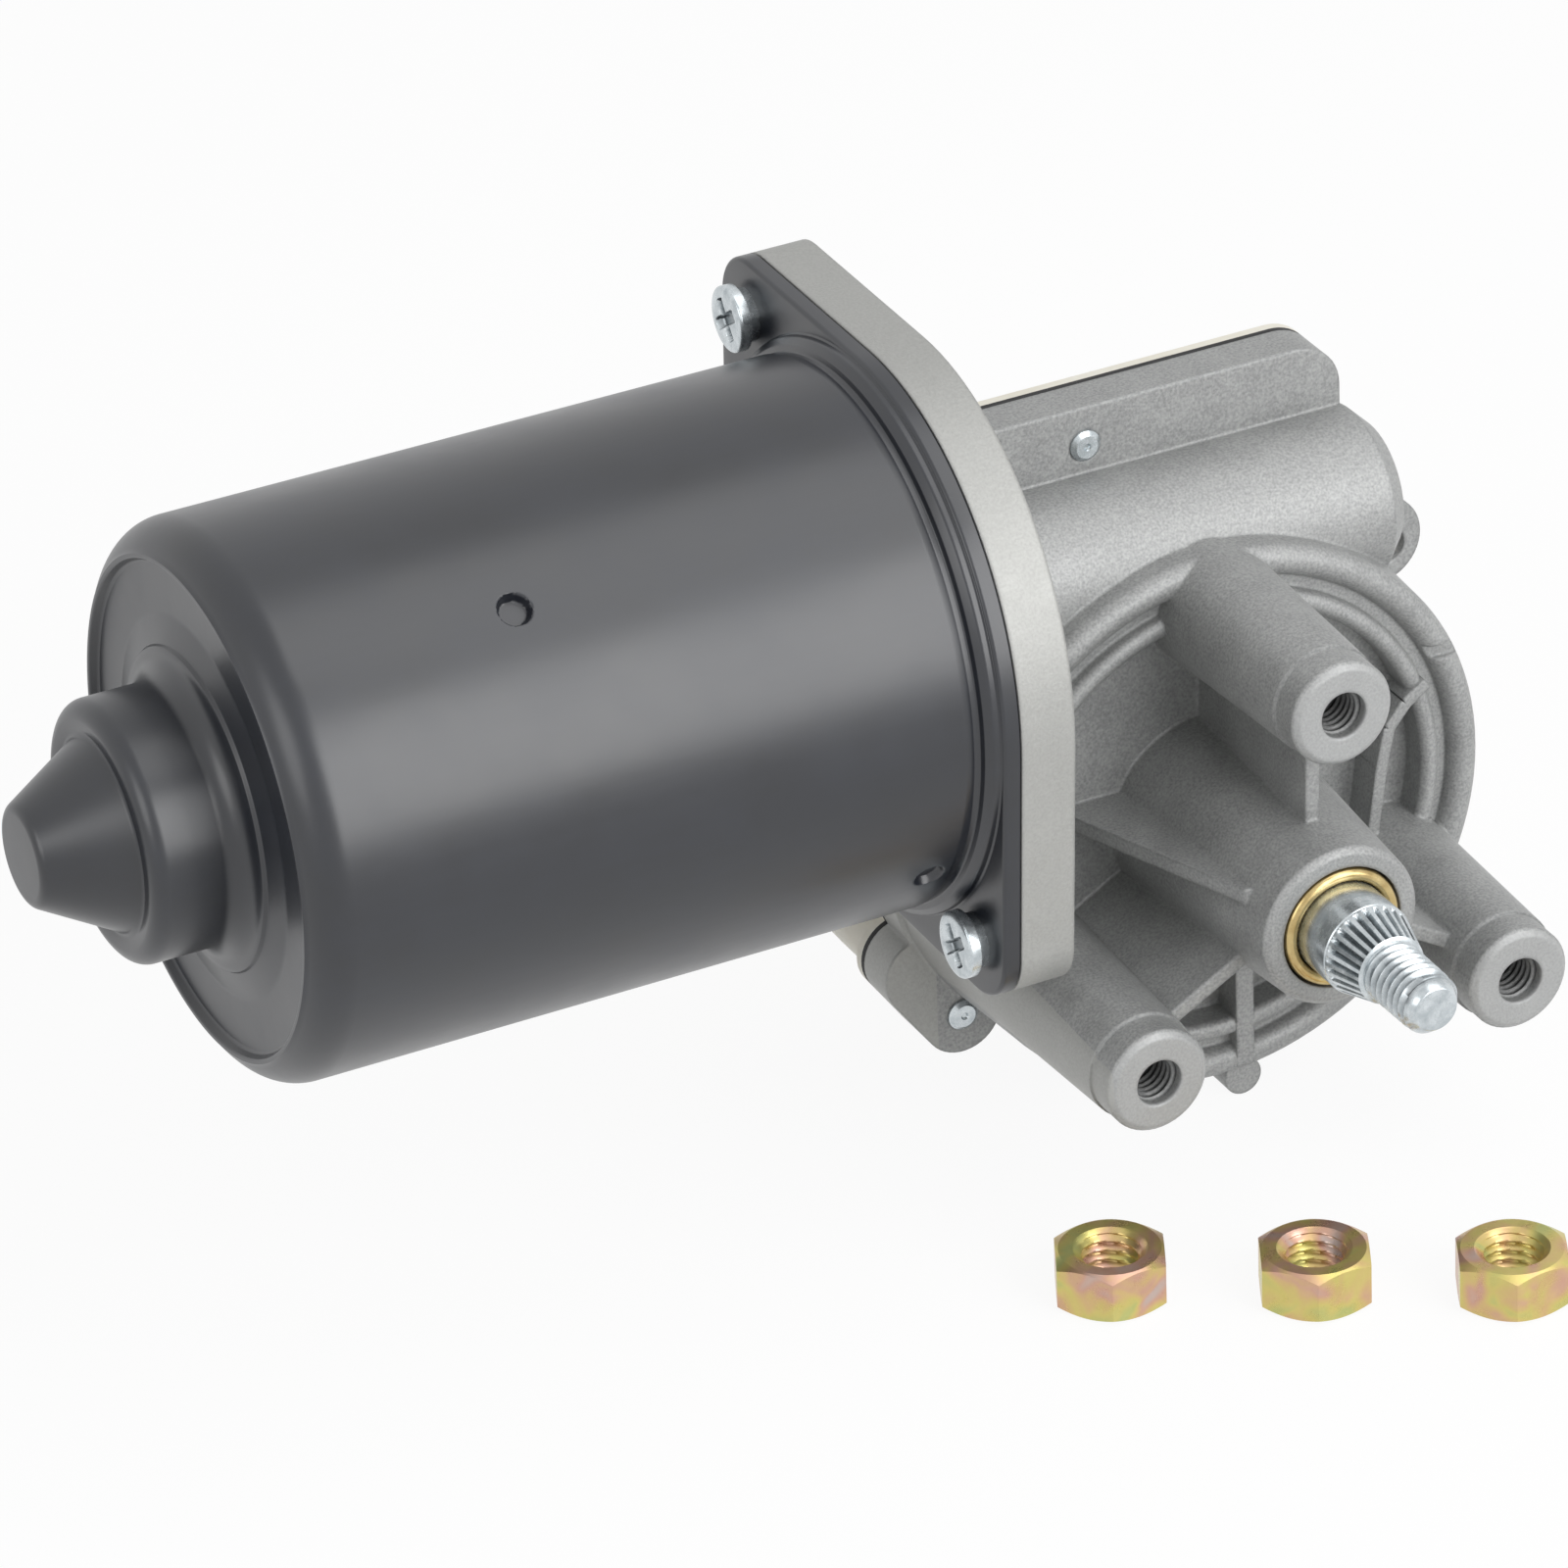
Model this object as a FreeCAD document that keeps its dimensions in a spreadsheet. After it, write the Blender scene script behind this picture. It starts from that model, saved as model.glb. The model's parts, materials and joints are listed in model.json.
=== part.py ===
import FreeCAD, Part
import Sketcher
import math
import os
import re

# Wiper motor with worm gearbox: permanent-magnet motor in a drawn steel can, bolted to a die-cast
# gearbox whose output shaft leaves through a long hub between three threaded mounting bosses.
# Frame: X along the armature toward the gearbox end, Z up, the output shaft points along -Y.
# The origin is on the output-shaft axis in the plane of the three boss faces. Units are mm.

os.makedirs("parts", exist_ok=True)
doc = FreeCAD.newDocument("WiperMotor")
sheet = doc.addObject("Spreadsheet::Sheet", "Sheet")

# Driving dimensions
DIMENSIONS = [
    ("toothModule", 1.0, "worm and wheel module"),
    ("wheelTeeth", 55, "teeth on the worm wheel"),
    ("wormPitchRadius", 4.25, "pitch radius of the single-start worm"),
    ("wormHalf", 11.0, "half length of the worm"),
    ("jointStand", 2, "how far the motor's joint face stands outside the gear pot"),
    ("canRadius", 34.0, "outer radius of the motor can"),
    ("canWall", 2.2, "sheet thickness of the can wall"),
    ("canRear", 13.0, "from the lamination stack to where the can wall starts to turn in"),
    ("canRound", 6.6, "length of the rounding at the closed end"),
    ("canRim", 3.9, "width of the raised rim of the closed end"),
    ("cupRise", 0.5, "rim of the closed end in front of the foot of the cup"),
    ("cupRadius", 15.9, "outer radius of the bearing cup"),
    ("cupLength", 12.2, "length of the bearing cup"),
    ("noseRadius", 11.9, "base radius of the conical nose"),
    ("noseLength", 9.8, "length of the conical nose"),
    ("noseTipRadius", 4.9, "radius of the flat tip"),
    ("rearSeat", 9.4, "radius of the rear bearing seat"),
    ("sheetFlange", 2.4, "thickness of the can flange"),
    ("castFlange", 7.0, "thickness of the cast flange"),
    ("flangeMargin", 2.1, "round part of both flanges outside the can"),
    ("lugStand", 6.26, "flange screw axis outside the can"),
    ("lugAngle", 46.91, "direction of the upper flange screw, degrees from Y"),
    ("lugRadius", 7.0, "corner radius of the flange lugs"),
    ("flangeScrewRadius", 2.5, "M5 flange screw shank"),
    ("flangeHead", 4.3, "radius of a flange screw head"),
    ("flangeHeadHeight", 2.9, "height of a flange screw head"),
    ("washerRadius", 4.6, "radius of a flange washer"),
    ("washerThick", 1.0, "flange washer"),
    ("shaftRadius", 4.0, "armature shaft"),
    ("runningFit", 0.03, "radial play of a shaft in its bush"),
    ("sideGap", 0.35, "free gap between moving and still faces"),
    ("magnetThick", 5.2, "radial thickness of a magnet"),
    ("coreLength", 52.0, "length of the lamination stack"),
    ("slotCount", 12, "slots in the lamination stack"),
    ("airGap", 0.7, "radial gap between stack and magnets"),
    ("magnetArc", 128.0, "angle covered by one magnet"),
    ("magnetOver", 10.0, "length of a magnet beyond the lamination stack"),
    ("coilRear", 6.5, "rear coil heads"),
    ("coilFront", 5.6, "front coil heads"),
    ("commutatorRadius", 11.5, "brush track of the commutator"),
    ("commutatorInset", 10.6, "riser face of the commutator behind the joint plane"),
    ("commutatorGap", 1.6, "between the front coil heads and the riser"),
    ("commutatorLength", 14.0, "length of the copper bars"),
    ("brushInset", 8.4, "rear face of the brush plate behind the joint plane"),
    ("brushPlateThick", 1.5, "thickness of the brush plate"),
    ("brushWidth", 5.0, "brush size across the armature axis"),
    ("brushHeight", 6.4, "brush size along the armature axis"),
    ("bossCircle", 28.58, "radius of the mounting boss circle"),
    ("bossTwist", 1.0, "turn of the boss pattern from the Z axis, degrees"),
    ("bossFaceRadius", 5.95, "machined face of a boss"),
    ("bossRadius", 6.7, "machined end of a boss"),
    ("bossDraftRadius", 6.95, "cast boss just behind the machined end"),
    ("bossRootRadius", 8.5, "cast boss at its root"),
    ("bossTurned", 4.6, "length of the machined end"),
    ("bossBore", 3.0, "M6 thread of a boss, nominal radius"),
    ("bossBoreDepth", 20.0, "depth of the boss thread"),
    ("hubRadius", 10.4, "front of the shaft hub"),
    ("hubRootRadius", 13.0, "root of the shaft hub"),
    ("bushRadius", 8.0, "outer radius of the output-shaft bushes"),
    ("bushLength", 13.0, "depth of each output-shaft bush in its bore"),
    ("outputRadius", 6.0, "output shaft"),
    ("outputReach", 19.9, "threaded tip in front of the boss faces"),
    ("knurlReach", 8.2, "end of the knurled taper in front of the boss faces"),
    ("potFront", 29.0, "front of the gear pot rim"),
    ("potRadius", 36.2, "gear pot at the front"),
    ("potDraft", 1.2, "growth of the gear pot toward the cover face"),
    ("rimWidth", 8.1, "from the outside of the pot to the ribbed panels"),
    ("panelDepth", 33.5, "floor of the ribbed panels"),
    ("floorWall", 3.0, "wall between the ribbed panels and the gear cavity"),
    ("hubStep", 1.5, "inner face of the shaft hub above the cavity floor"),
    ("wheelRoom", 3.5, "from the pitch circle of the wheel to the cavity wall"),
    ("thrustThick", 0.9, "thrust washer of the wheel"),
    ("tubeBack", 8.0, "cover face behind the armature axis"),
    ("coverFlange", 5.8, "thickness of the cover flange"),
    ("gasketThick", 0.8, "cover gasket"),
    ("coverSheet", 1.2, "sheet of the back cover"),
    ("coverDepth", 15.0, "how far the cover stands behind the gasket"),
    ("ridgeHeight", 19.65, "top of the cover flange above the armature axis"),
    ("ridgeCorner", 6.0, "corner radius at the right end"),
    ("domeDrop", 8.0, "deep part of the cover below the top of its flange"),
    ("tubeRadius", 11.0, "outside of the worm tube"),
    ("tubeEnd", 29.0, "closed end of the worm tube"),
    ("tubeBore", 7.0, "bore around the worm"),
    ("ballRadius", 2.0, "thrust ball in the end of the armature shaft"),
    ("coverScrewRadius", 2.0, "M4 cover screw shank"),
    ("coverHead", 3.6, "radius of a cover screw head"),
    ("coverHeadHeight", 2.4, "height of a cover screw head"),
    ("screwSink", 5.6, "recess around each cover screw"),
    ("coverLug", 5.3, "radius of the cover screw lugs"),
    ("earRadius", 5.85, "thin ear on the right of the cover flange"),
    ("earThick", 1.6, "thickness of the ear"),
    ("earHole", 2.3, "hole in the ear"),
    ("ribThick", 1.8, "cast ribs"),
    ("ribFront", 7.3, "front edge of the three boss ribs"),
    ("wheelWidth", 8.5, "face width of the worm wheel"),
    ("backlash", 0.16, "tooth thickness taken off each of the two gears"),
    ("socketHalf", 13.0, "half width of the socket"),
    ("socketLift", 5.8, "underside of the socket above the lowest point of the pot"),
    ("socketHeight", 13.6, "height of the socket"),
    ("socketWall", 1.5, "wall of the socket"),
    ("socketReach", 8.0, "how far the socket stands out of the cover"),
    ("discThick", 0.5, "parking disc"),
    ("nutWidth", 13.0, "M8 nut across flats"),
    ("nutHeight", 6.5, "M8 nut height"),
    ("nutBore", 4.0, "M8 nut thread, nominal radius"),
    ("knobDrop", 2.0, "knob under the rim, the lowest cast point, where the loose nuts lie too"),
]

for row, (alias, amount, note) in enumerate(DIMENSIONS, start=1):
    sheet.set("A%d" % row, note)
    sheet.set("B%d" % row, str(amount))
    sheet.setAlias("B%d" % row, alias)
doc.recompute()
FORMULAS = [
    ("wheelPitchRadius", "toothModule * wheelTeeth / 2"),
    ("cavityFront", "panelDepth + floorWall"),
    ("bearingBossFace", "cavityFront + hubStep"),
    ("wormY", "bearingBossFace + thrustThick + sideGap + wheelWidth / 2"),
    ("wormZ", "wheelPitchRadius + wormPitchRadius"),
    ("wormPitch", "toothModule * pi"),
    ("wormTip", "wormPitchRadius + toothModule"),
    ("wormRoot", "wormPitchRadius - 1.25 * toothModule"),
    ("boreRadius", "shaftRadius + runningFit"),
    ("canInner", "canRadius - canWall"),
    ("magnetInner", "canInner - magnetThick"),
    ("coreRadius", "magnetInner - airGap"),
    ("flangeRadius", "canRadius + flangeMargin"),
    ("lugY", "(canRadius + lugStand) * cos(lugAngle)"),
    ("lugZ", "(canRadius + lugStand) * sin(lugAngle)"),
    ("jointX", "-(potRadius + jointStand)"),
    ("flangeBackX", "jointX + castFlange"),
    ("brushPlateX", "jointX - brushInset"),
    ("brushBase", "brushPlateX + brushPlateThick"),
    ("commutatorStartX", "jointX - commutatorInset"),
    ("coreEndX", "commutatorStartX - commutatorGap - coilFront"),
    ("coreStartX", "coreEndX - coreLength"),
    ("magnetLength", "coreLength + magnetOver"),
    ("slotHalf", "0.62 * pi * coreRadius / slotCount"),
    ("canShoulderX", "coreStartX - canRear"),
    ("canEndX", "canShoulderX - canRound"),
    ("canEndRadius", "canRadius - canRim"),
    ("cupFootX", "canEndX + cupRise"),
    ("cupEndX", "cupFootX - cupLength"),
    ("noseTipX", "cupEndX - noseLength"),
    ("potBackRadius", "potRadius + potDraft"),
    ("panelRadius", "potRadius - rimWidth"),
    ("cavityRadius", "wheelPitchRadius + wheelRoom"),
    ("coverFace", "wormY + tubeBack"),
    ("coverFlangeFront", "coverFace - coverFlange"),
    ("ridgeTop", "wormZ + ridgeHeight"),
    ("ridgeEnd", "tubeEnd - 2.8"),
    ("domeTop", "ridgeTop - domeDrop"),
    ("standZ", "-(potBackRadius + knobDrop)"),
    ("socketLow", "socketLift - potBackRadius"),
    ("socketHigh", "socketLow + socketHeight"),
    ("wheelBack", "wormY + wheelWidth / 2"),
    ("wheelFront", "wormY - wheelWidth / 2"),
    ("gasketBack", "coverFace + gasketThick"),
    ("discBack", "wheelBack + discThick"),
]
SHEET_WORDS = {alias for alias, _, _ in DIMENSIONS} | {alias for alias, _ in FORMULAS}


def bound(text, own=False):
    """Point every dimension name in a formula at the spreadsheet."""
    prefix = "" if own else "Sheet."
    return re.sub(r"[A-Za-z]\w*", lambda m: prefix + m.group(0) if m.group(0) in SHEET_WORDS else m.group(0), str(text))


for row, (alias, formula) in enumerate(FORMULAS, start=len(DIMENSIONS) + 1):
    sheet.set("B%d" % row, "=" + bound(formula, own=True))
    sheet.setAlias("B%d" % row, alias)
    doc.recompute()


def value(text):
    """Number that a formula of dimension names stands for."""
    return float(sheet.evalExpression(bound(text)))


# Local frames: Z of a body runs along the armature (X) or along the output shaft (+Y)
MOTOR_TURN = FreeCAD.Rotation(0.5, 0.5, 0.5, 0.5)
GEAR_TURN = FreeCAD.Rotation(-0.5, -0.5, -0.5, 0.5)
TO_X = FreeCAD.Rotation(FreeCAD.Vector(0, 1, 0), 90)
TO_Y = FreeCAD.Rotation(FreeCAD.Vector(1, 0, 0), -90)
nodes = []


def node(item, label):
    """Register an object as one of the pieces that are written out."""
    item.Label = label
    nodes.append(item)
    return item


def place(item, position, turn=None):
    """Bind an object's position to formulas for X, Y and Z."""
    item.Placement = FreeCAD.Placement(FreeCAD.Vector(*[value(p)
                                                        for p in position]), turn or FreeCAD.Rotation())
    for letter, text in zip("xyz", position):
        item.setExpression("Placement.Base." + letter, bound(text))


def motor_body(name):
    body = doc.addObject("PartDesign::Body", name)
    place(body, ("0", "wormY", "wormZ"), MOTOR_TURN)
    return body


def gear_body(name):
    body = doc.addObject("PartDesign::Body", name)
    place(body, ("0", "0", "0"), GEAR_TURN)
    return body


def draw(sketch, corners):
    """Closed outline through corners given as pairs of formulas, each corner bound to the sheet."""
    spots = [(value(u), value(v)) for u, v in corners]
    count = len(spots)
    for i, spot in enumerate(spots):
        after = spots[(i + 1) % count]
        sketch.addGeometry(Part.LineSegment(FreeCAD.Vector(*spot, 0), FreeCAD.Vector(*after, 0)), False)
    for i in range(count):
        sketch.addConstraint(Sketcher.Constraint("Coincident", i, 2, (i + 1) % count, 1))
    for i in range(count):
        for kind, text, amount in zip(("DistanceX", "DistanceY"), corners[i], spots[i]):
            index = sketch.addConstraint(Sketcher.Constraint(kind, -1, 1, i, 1, amount))
            sketch.setExpression("Constraints[%d]" % index, bound(text))


def sketch_on(body, name, role, offset="0"):
    """Sketch on one of a body's own origin planes, moved along the plane's normal."""
    sketch = body.newObject("Sketcher::SketchObject", name)
    plane = [p for p in body.Origin.OriginFeatures if p.Role == role][0]
    sketch.AttachmentSupport = [(plane, "")]
    sketch.MapMode = "FlatFace"
    if offset != "0":
        sketch.setExpression("AttachmentOffset.Base.z", bound(offset))
    return sketch


def turned(body, name, corners, angle="360"):
    """Revolution of an outline of (radius, distance along the axis) pairs."""
    sketch = sketch_on(body, name + "_outline", "XZ_Plane")
    draw(sketch, corners)
    doc.recompute()
    turn = body.newObject("PartDesign::Revolution", name)
    turn.Profile = sketch
    turn.ReferenceAxis = (sketch, ["V_Axis"])
    turn.setExpression("Angle", bound(angle))
    turn.Midplane = angle != "360"
    sketch.Visibility = False
    doc.recompute()
    return turn


def ring_corners(inner, outer, start, end):
    return [(inner, start), (outer, start), (outer, end), (inner, end)]


def simple_ring(label, maker, inner, outer, start, end, angle="360"):
    """Plain ring, bush, washer or arc turned about the body's axis."""
    body = maker(label)
    turned(body, label + "_turn", ring_corners(inner, outer, start, end), angle)
    return node(body, label)


def cut_round(body, name, corners, count):
    """Pocket of an outline on the XY plane right through a body, repeated around its axis."""
    sketch = sketch_on(body, name + "_outline", "XY_Plane")
    draw(sketch, corners)
    doc.recompute()
    pocket = body.newObject("PartDesign::Pocket", name)
    pocket.Profile = sketch
    pocket.Type = 1
    pocket.Midplane = True
    doc.recompute()
    pattern = body.newObject("PartDesign::PolarPattern", name + "_pattern")
    pattern.Originals = [pocket]
    pattern.Axis = (sketch, ["N_Axis"])
    pattern.setExpression("Occurrences", bound(count))
    body.Tip = pattern
    sketch.Visibility = False
    doc.recompute()
    return pattern


def rod(name, axis, radius, start, end, centre):
    """Cylinder along X or Y between two formulas, centred on the other two coordinates."""
    item = doc.addObject("Part::Cylinder", name)
    item.setExpression("Radius", bound(radius))
    item.setExpression("Height", bound("(%s) - (%s)" % (end, start)))
    spot = (start, centre[0], centre[1]) if axis == "X" else (centre[0], start, centre[1])
    place(item, spot, TO_X if axis == "X" else TO_Y)
    return item


def taper(name, axis, first, last, start, end, centre):
    """Cone along X or Y with its first and last radius."""
    item = doc.addObject("Part::Cone", name)
    item.setExpression("Radius1", bound(first))
    item.setExpression("Radius2", bound(last))
    item.setExpression("Height", bound("(%s) - (%s)" % (end, start)))
    spot = (start, centre[0], centre[1]) if axis == "X" else (centre[0], start, centre[1])
    place(item, spot, TO_X if axis == "X" else TO_Y)
    return item


def block(name, x_range, y_range, z_range):
    """Box between two formulas on each axis."""
    item = doc.addObject("Part::Box", name)
    for size, (low, high) in zip(("Length", "Width", "Height"), (x_range, y_range, z_range)):
        item.setExpression(size, bound("(%s) - (%s)" % (high, low)))
    place(item, (x_range[0], y_range[0], z_range[0]))
    return item


def torus(name, major, minor, along, centre=("0", "0")):
    """Torus around a line parallel to the output shaft."""
    item = doc.addObject("Part::Torus", name)
    item.setExpression("Radius1", bound(major))
    item.setExpression("Radius2", bound(minor))
    place(item, (centre[0], along, centre[1]), TO_Y)
    return item


def prism(name, corners, start, end):
    """Outline of (X, Z) pairs drawn out along Y between two formulas."""
    sketch = doc.addObject("Sketcher::SketchObject", name + "_outline")
    draw(sketch, [(x, "-(%s)" % z) for x, z in corners])
    place(sketch, ("0", start, "0"), TO_Y)
    sketch.Visibility = False
    solid = doc.addObject("Part::Extrusion", name)
    solid.Base = sketch
    solid.DirMode = "Normal"
    solid.Solid = True
    solid.setExpression("LengthFwd", bound("(%s) - (%s)" % (end, start)))
    return solid


def joined(name, items):
    item = doc.addObject("Part::MultiFuse", name)
    item.Shapes = items
    return item


def without(name, base, tool):
    item = doc.addObject("Part::Cut", name)
    item.Base = base
    item.Tool = tool
    return item


def shaped(label, shape):
    """Piece whose shape comes from Part functions that read the sheet."""
    item = doc.addObject("Part::Feature", label)
    item.Shape = shape
    return item


def flange_plate(start, thick):
    """Round plate about the armature axis with two opposite screw lugs, drawn along X."""
    big, small = value("flangeRadius"), value("lugRadius")
    lug = FreeCAD.Vector(0, value("lugY"), value("lugZ"))
    reach = lug.Length
    lean = math.acos((big - small) / reach)
    heading = math.atan2(lug.z, lug.y)
    edges = []

    def at(centre, radius, angle):
        return centre + FreeCAD.Vector(0, radius * math.cos(angle), radius * math.sin(angle))

    origin = FreeCAD.Vector(0, 0, 0)
    for turn in (0, math.pi):
        centre = lug * math.cos(turn)
        first, middle, last = heading + turn - lean, heading + turn, heading + turn + lean
        edges.append(Part.makeLine(at(origin, big, first), at(centre, small, first)))
        edges.append(Part.Arc(at(centre, small, first), at(centre, small, middle),
                              at(centre, small, last)).toShape())
        edges.append(Part.makeLine(at(centre, small, last), at(origin, big, last)))
        after, half = first + math.pi, middle + math.pi / 2
        edges.append(Part.Arc(at(origin, big, last), at(origin, big, half), at(origin, big, after)).toShape())
    plate = Part.Face(Part.Wire(edges)).extrude(FreeCAD.Vector(value(thick), 0, 0))
    plate.translate(FreeCAD.Vector(value(start), value("wormY"), value("wormZ")))
    return plate


WORM_AXIS = ("wormY", "wormZ")
SHAFT_AXIS = ("0", "0")
LUGS = [("wormY + lugY", "wormZ + lugZ"), ("wormY - lugY", "wormZ - lugZ")]
BOSSES = [("bossCircle * sin(bossTwist + %d)" % a, "bossCircle * cos(bossTwist + %d)" % a)
          for a in (0, 120, 240)]


def around(radius, angle):
    """X and Z formulas of a point at a radius and a direction in degrees about the output shaft."""
    return "(%s) * cos(%s)" % (radius, angle), "(%s) * sin(%s)" % (radius, angle)


COVER_LUGS = [("-8.8", "ridgeTop - 5.1"), around("potBackRadius + 1.35", -135.4),
              around("potBackRadius + 0.95", -44.8)]
LOBE = around("potBackRadius + 0.95", -148.2)
EAR = around("potBackRadius + 1.15", 35.2)
EAR_HOLE = around("potBackRadius + 1.7", 33.0)

# Motor can: drawn steel shell with its flange
can_shell = motor_body("can_shell")
turned(can_shell, "can_turn", [
    ("canInner", "jointX"), ("canRadius + 1.6", "jointX"), ("canRadius + 1.6", "jointX - sheetFlange"),
    ("canRadius + 0.5", "jointX - sheetFlange - 0.5"), ("canRadius", "jointX - sheetFlange - 1.6"),
    ("canRadius", "canShoulderX"), ("canRadius - 0.4", "canEndX + 3.9"), ("canRadius - 1.3", "canEndX + 2"),
    ("canRadius - 2.9", "canEndX + 0.6"), ("canEndRadius + 0.3", "canEndX + 0.1"), ("canEndRadius", "canEndX"),
    ("canEndRadius - 0.3", "canEndX + 1.3"), ("canEndRadius - 6.9", "canEndX + 1.5"),
    ("cupRadius + 1.5", "cupFootX"),
    ("cupRadius + 0.2", "cupFootX - 0.9"), ("cupRadius", "cupFootX - 2"), ("cupRadius", "cupEndX + 3.3"),
    ("cupRadius - 0.25", "cupEndX + 2.3"), ("cupRadius - 0.6", "cupEndX + 1.3"),
    ("cupRadius - 1.2", "cupEndX + 0.4"),
    ("cupRadius - 1.9", "cupEndX"), ("noseRadius", "cupEndX + 0.5"), ("noseTipRadius + 1.85", "noseTipX + 1.2"),
    ("noseTipRadius + 1.3", "noseTipX + 0.6"), ("noseTipRadius + 0.7", "noseTipX + 0.2"),
    ("noseTipRadius", "noseTipX"),
    ("0", "noseTipX"), ("0", "noseTipX + 2.2"), ("noseTipRadius - 1.5", "noseTipX + 2.2"),
    ("rearSeat", "cupEndX + 0.3"),
    ("rearSeat", "cupEndX + 7.8"), ("cupRadius - canWall", "cupEndX + 7.8"),
    ("cupRadius - canWall", "cupFootX + canWall"),
    ("canEndRadius - 1.1", "canEndX + 1.3 + canWall"), ("canInner - 0.6", "canShoulderX - 1.9"),
    ("canInner", "canShoulderX"),
])
can_plate = shaped("can_plate", flange_plate("jointX - sheetFlange", "sheetFlange"))
can_mouth = rod("can_mouth", "X", "canInner", "jointX - 6", "jointX + 1", WORM_AXIS)
can_holes = [rod("can_hole_%d" % i, "X", "flangeScrewRadius", "jointX - 6", "jointX + 1", c)
             for i, c in enumerate(LUGS)]
can_steel = joined("can_steel", [can_shell, without("can_ring", can_plate, can_mouth)])
node(without("can_cut", can_steel, joined("can_holes", can_holes)), "motor_can")

# Ferrite magnets, their spring clips and the rear bearing
MAGNET = ("magnetInner", "canInner", "coreStartX - magnetOver / 2", "coreEndX + magnetOver / 2", "magnetArc")
simple_ring("magnet_rear", motor_body, *MAGNET)
simple_ring("magnet_front", motor_body, *MAGNET)
nodes[-1].Placement = nodes[-1].Placement.multiply(FreeCAD.Placement(FreeCAD.Vector(),
                                                                     FreeCAD.Rotation(180, 0, 0)))
CLIP = ("canInner - 1.2", "canInner", "coreStartX + 1", "coreEndX - 1", "180 - magnetArc")
for label, heading in (("magnet_clip_upper", 90), ("magnet_clip_lower", -90)):
    simple_ring(label, motor_body, *CLIP)
    nodes[-1].Placement = nodes[-1].Placement.multiply(FreeCAD.Placement(FreeCAD.Vector(),
                                                                         FreeCAD.Rotation(heading, 0, 0)))
rear_bearing = motor_body("rear_bearing")
turned(rear_bearing, "rear_bearing_turn", [
    ("boreRadius", "cupEndX + 1.5"), ("rearSeat - 1.9", "cupEndX + 1.5"), ("rearSeat", "cupEndX + 3.5"),
    ("rearSeat", "cupEndX + 7.3"), ("rearSeat - 1.6", "cupEndX + 9.8"), ("boreRadius", "cupEndX + 9.8")])
node(rear_bearing, "rear_bearing")
rear_clamp = motor_body("rear_bearing_clamp")
turned(rear_clamp, "rear_clamp_turn", [
    ("rearSeat", "cupEndX + 7.8"), ("cupRadius - canWall", "cupEndX + 7.8"),
    ("cupRadius - canWall", "cupEndX + 8.6"),
    ("rearSeat - 0.6", "cupEndX + 8.6"), ("rearSeat - 0.6", "cupEndX + 8.24"), ("rearSeat", "cupEndX + 7.3")])
node(rear_clamp, "rear_bearing_clamp")

# Armature
shaft = motor_body("armature_shaft_core")
turned(shaft, "armature_shaft_turn", [
    ("0", "noseTipX + 7"), ("shaftRadius - 0.5", "noseTipX + 7"), ("shaftRadius", "noseTipX + 7.5"),
    ("shaftRadius", "-wormHalf - 1.5"), ("wormRoot", "-wormHalf"), ("wormRoot", "wormHalf"),
    ("shaftRadius", "wormHalf + 1.5"), ("shaftRadius", "tubeEnd - 3.6"), ("ballRadius", "tubeEnd - 3.6"),
    ("ballRadius", "tubeEnd - 3.4 - ballRadius"), ("0", "tubeEnd - 3.4 - ballRadius")])


def worm_thread(turns, steps):
    """Right-hand trapezoid thread about the X axis as a ruled loft through turned tooth sections."""
    module, pitch = value("toothModule"), value("wormPitch")
    slope = math.tan(math.radians(20))
    half = pitch / 4 - value("backlash") / 2
    root, tip, mean = value("wormRoot") - 0.25, value("wormTip"), value("wormPitchRadius")
    sections = []
    for step in range(turns * steps + 1):
        angle = 2 * math.pi * (step / steps - turns / 2)
        end = min(step, turns * steps - step) / (steps / 2)
        top = root + 0.6 + (tip - root - 0.6) * min(1, end)
        centre = pitch * (angle / (2 * math.pi) - 0.25)
        points = []
        for radius, side in ((root, -1), (top, -1), (top, 1), (root, 1)):
            along = centre + side * (half - (radius - mean) * slope)
            points.append(FreeCAD.Vector(along, radius * math.cos(angle), radius * math.sin(angle)))
        sections.append(Part.makePolygon(points + points[:1]))
    thread = Part.makeLoft(sections, True, True)
    thread.translate(FreeCAD.Vector(0, value("wormY"), value("wormZ")))
    return thread


worm = shaped("worm_thread", worm_thread(6, 14))
node(joined("shaft_with_worm", [shaft, worm]), "armature_shaft")
stack = motor_body("lamination_stack")
turned(stack, "stack_turn", ring_corners("shaftRadius", "coreRadius", "coreStartX", "coreEndX"))
SLOT = [("shaftRadius + 9", "0.45 * slotHalf"), ("coreRadius - 3.4", "slotHalf"), ("coreRadius - 1.7", "1"),
        ("coreRadius + 1", "1")]
cut_round(stack, "stack_slot", [(u, "-(%s)" % v) for u, v in SLOT] + SLOT[::-1], "slotCount")
node(stack, "lamination_stack")
coils = motor_body("windings")
turned(coils, "coil_rear", [
    ("shaftRadius + 3", "coreStartX"), ("coreRadius - 2.3", "coreStartX"),
    ("coreRadius - 1.7", "coreStartX - 3"),
    ("coreRadius - 3.9", "coreStartX - coilRear"), ("shaftRadius + 5", "coreStartX - coilRear"),
    ("shaftRadius + 3", "coreStartX - coilRear + 2.5")])
coil_bar = sketch_on(coils, "coil_bar_outline", "XY_Plane", "coreStartX - 1")
BAR = [("shaftRadius + 9.6", "0.4 * slotHalf"), ("coreRadius - 3.6", "slotHalf - 0.5")]
draw(coil_bar, [(u, "-(%s)" % v) for u, v in BAR] + BAR[::-1])
bar = coils.newObject("PartDesign::Pad", "coil_bar")
bar.Profile = coil_bar
bar.setExpression("Length", bound("coreLength + 2"))
doc.recompute()
bars = coils.newObject("PartDesign::PolarPattern", "coil_bars")
bars.Originals = [bar]
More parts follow.
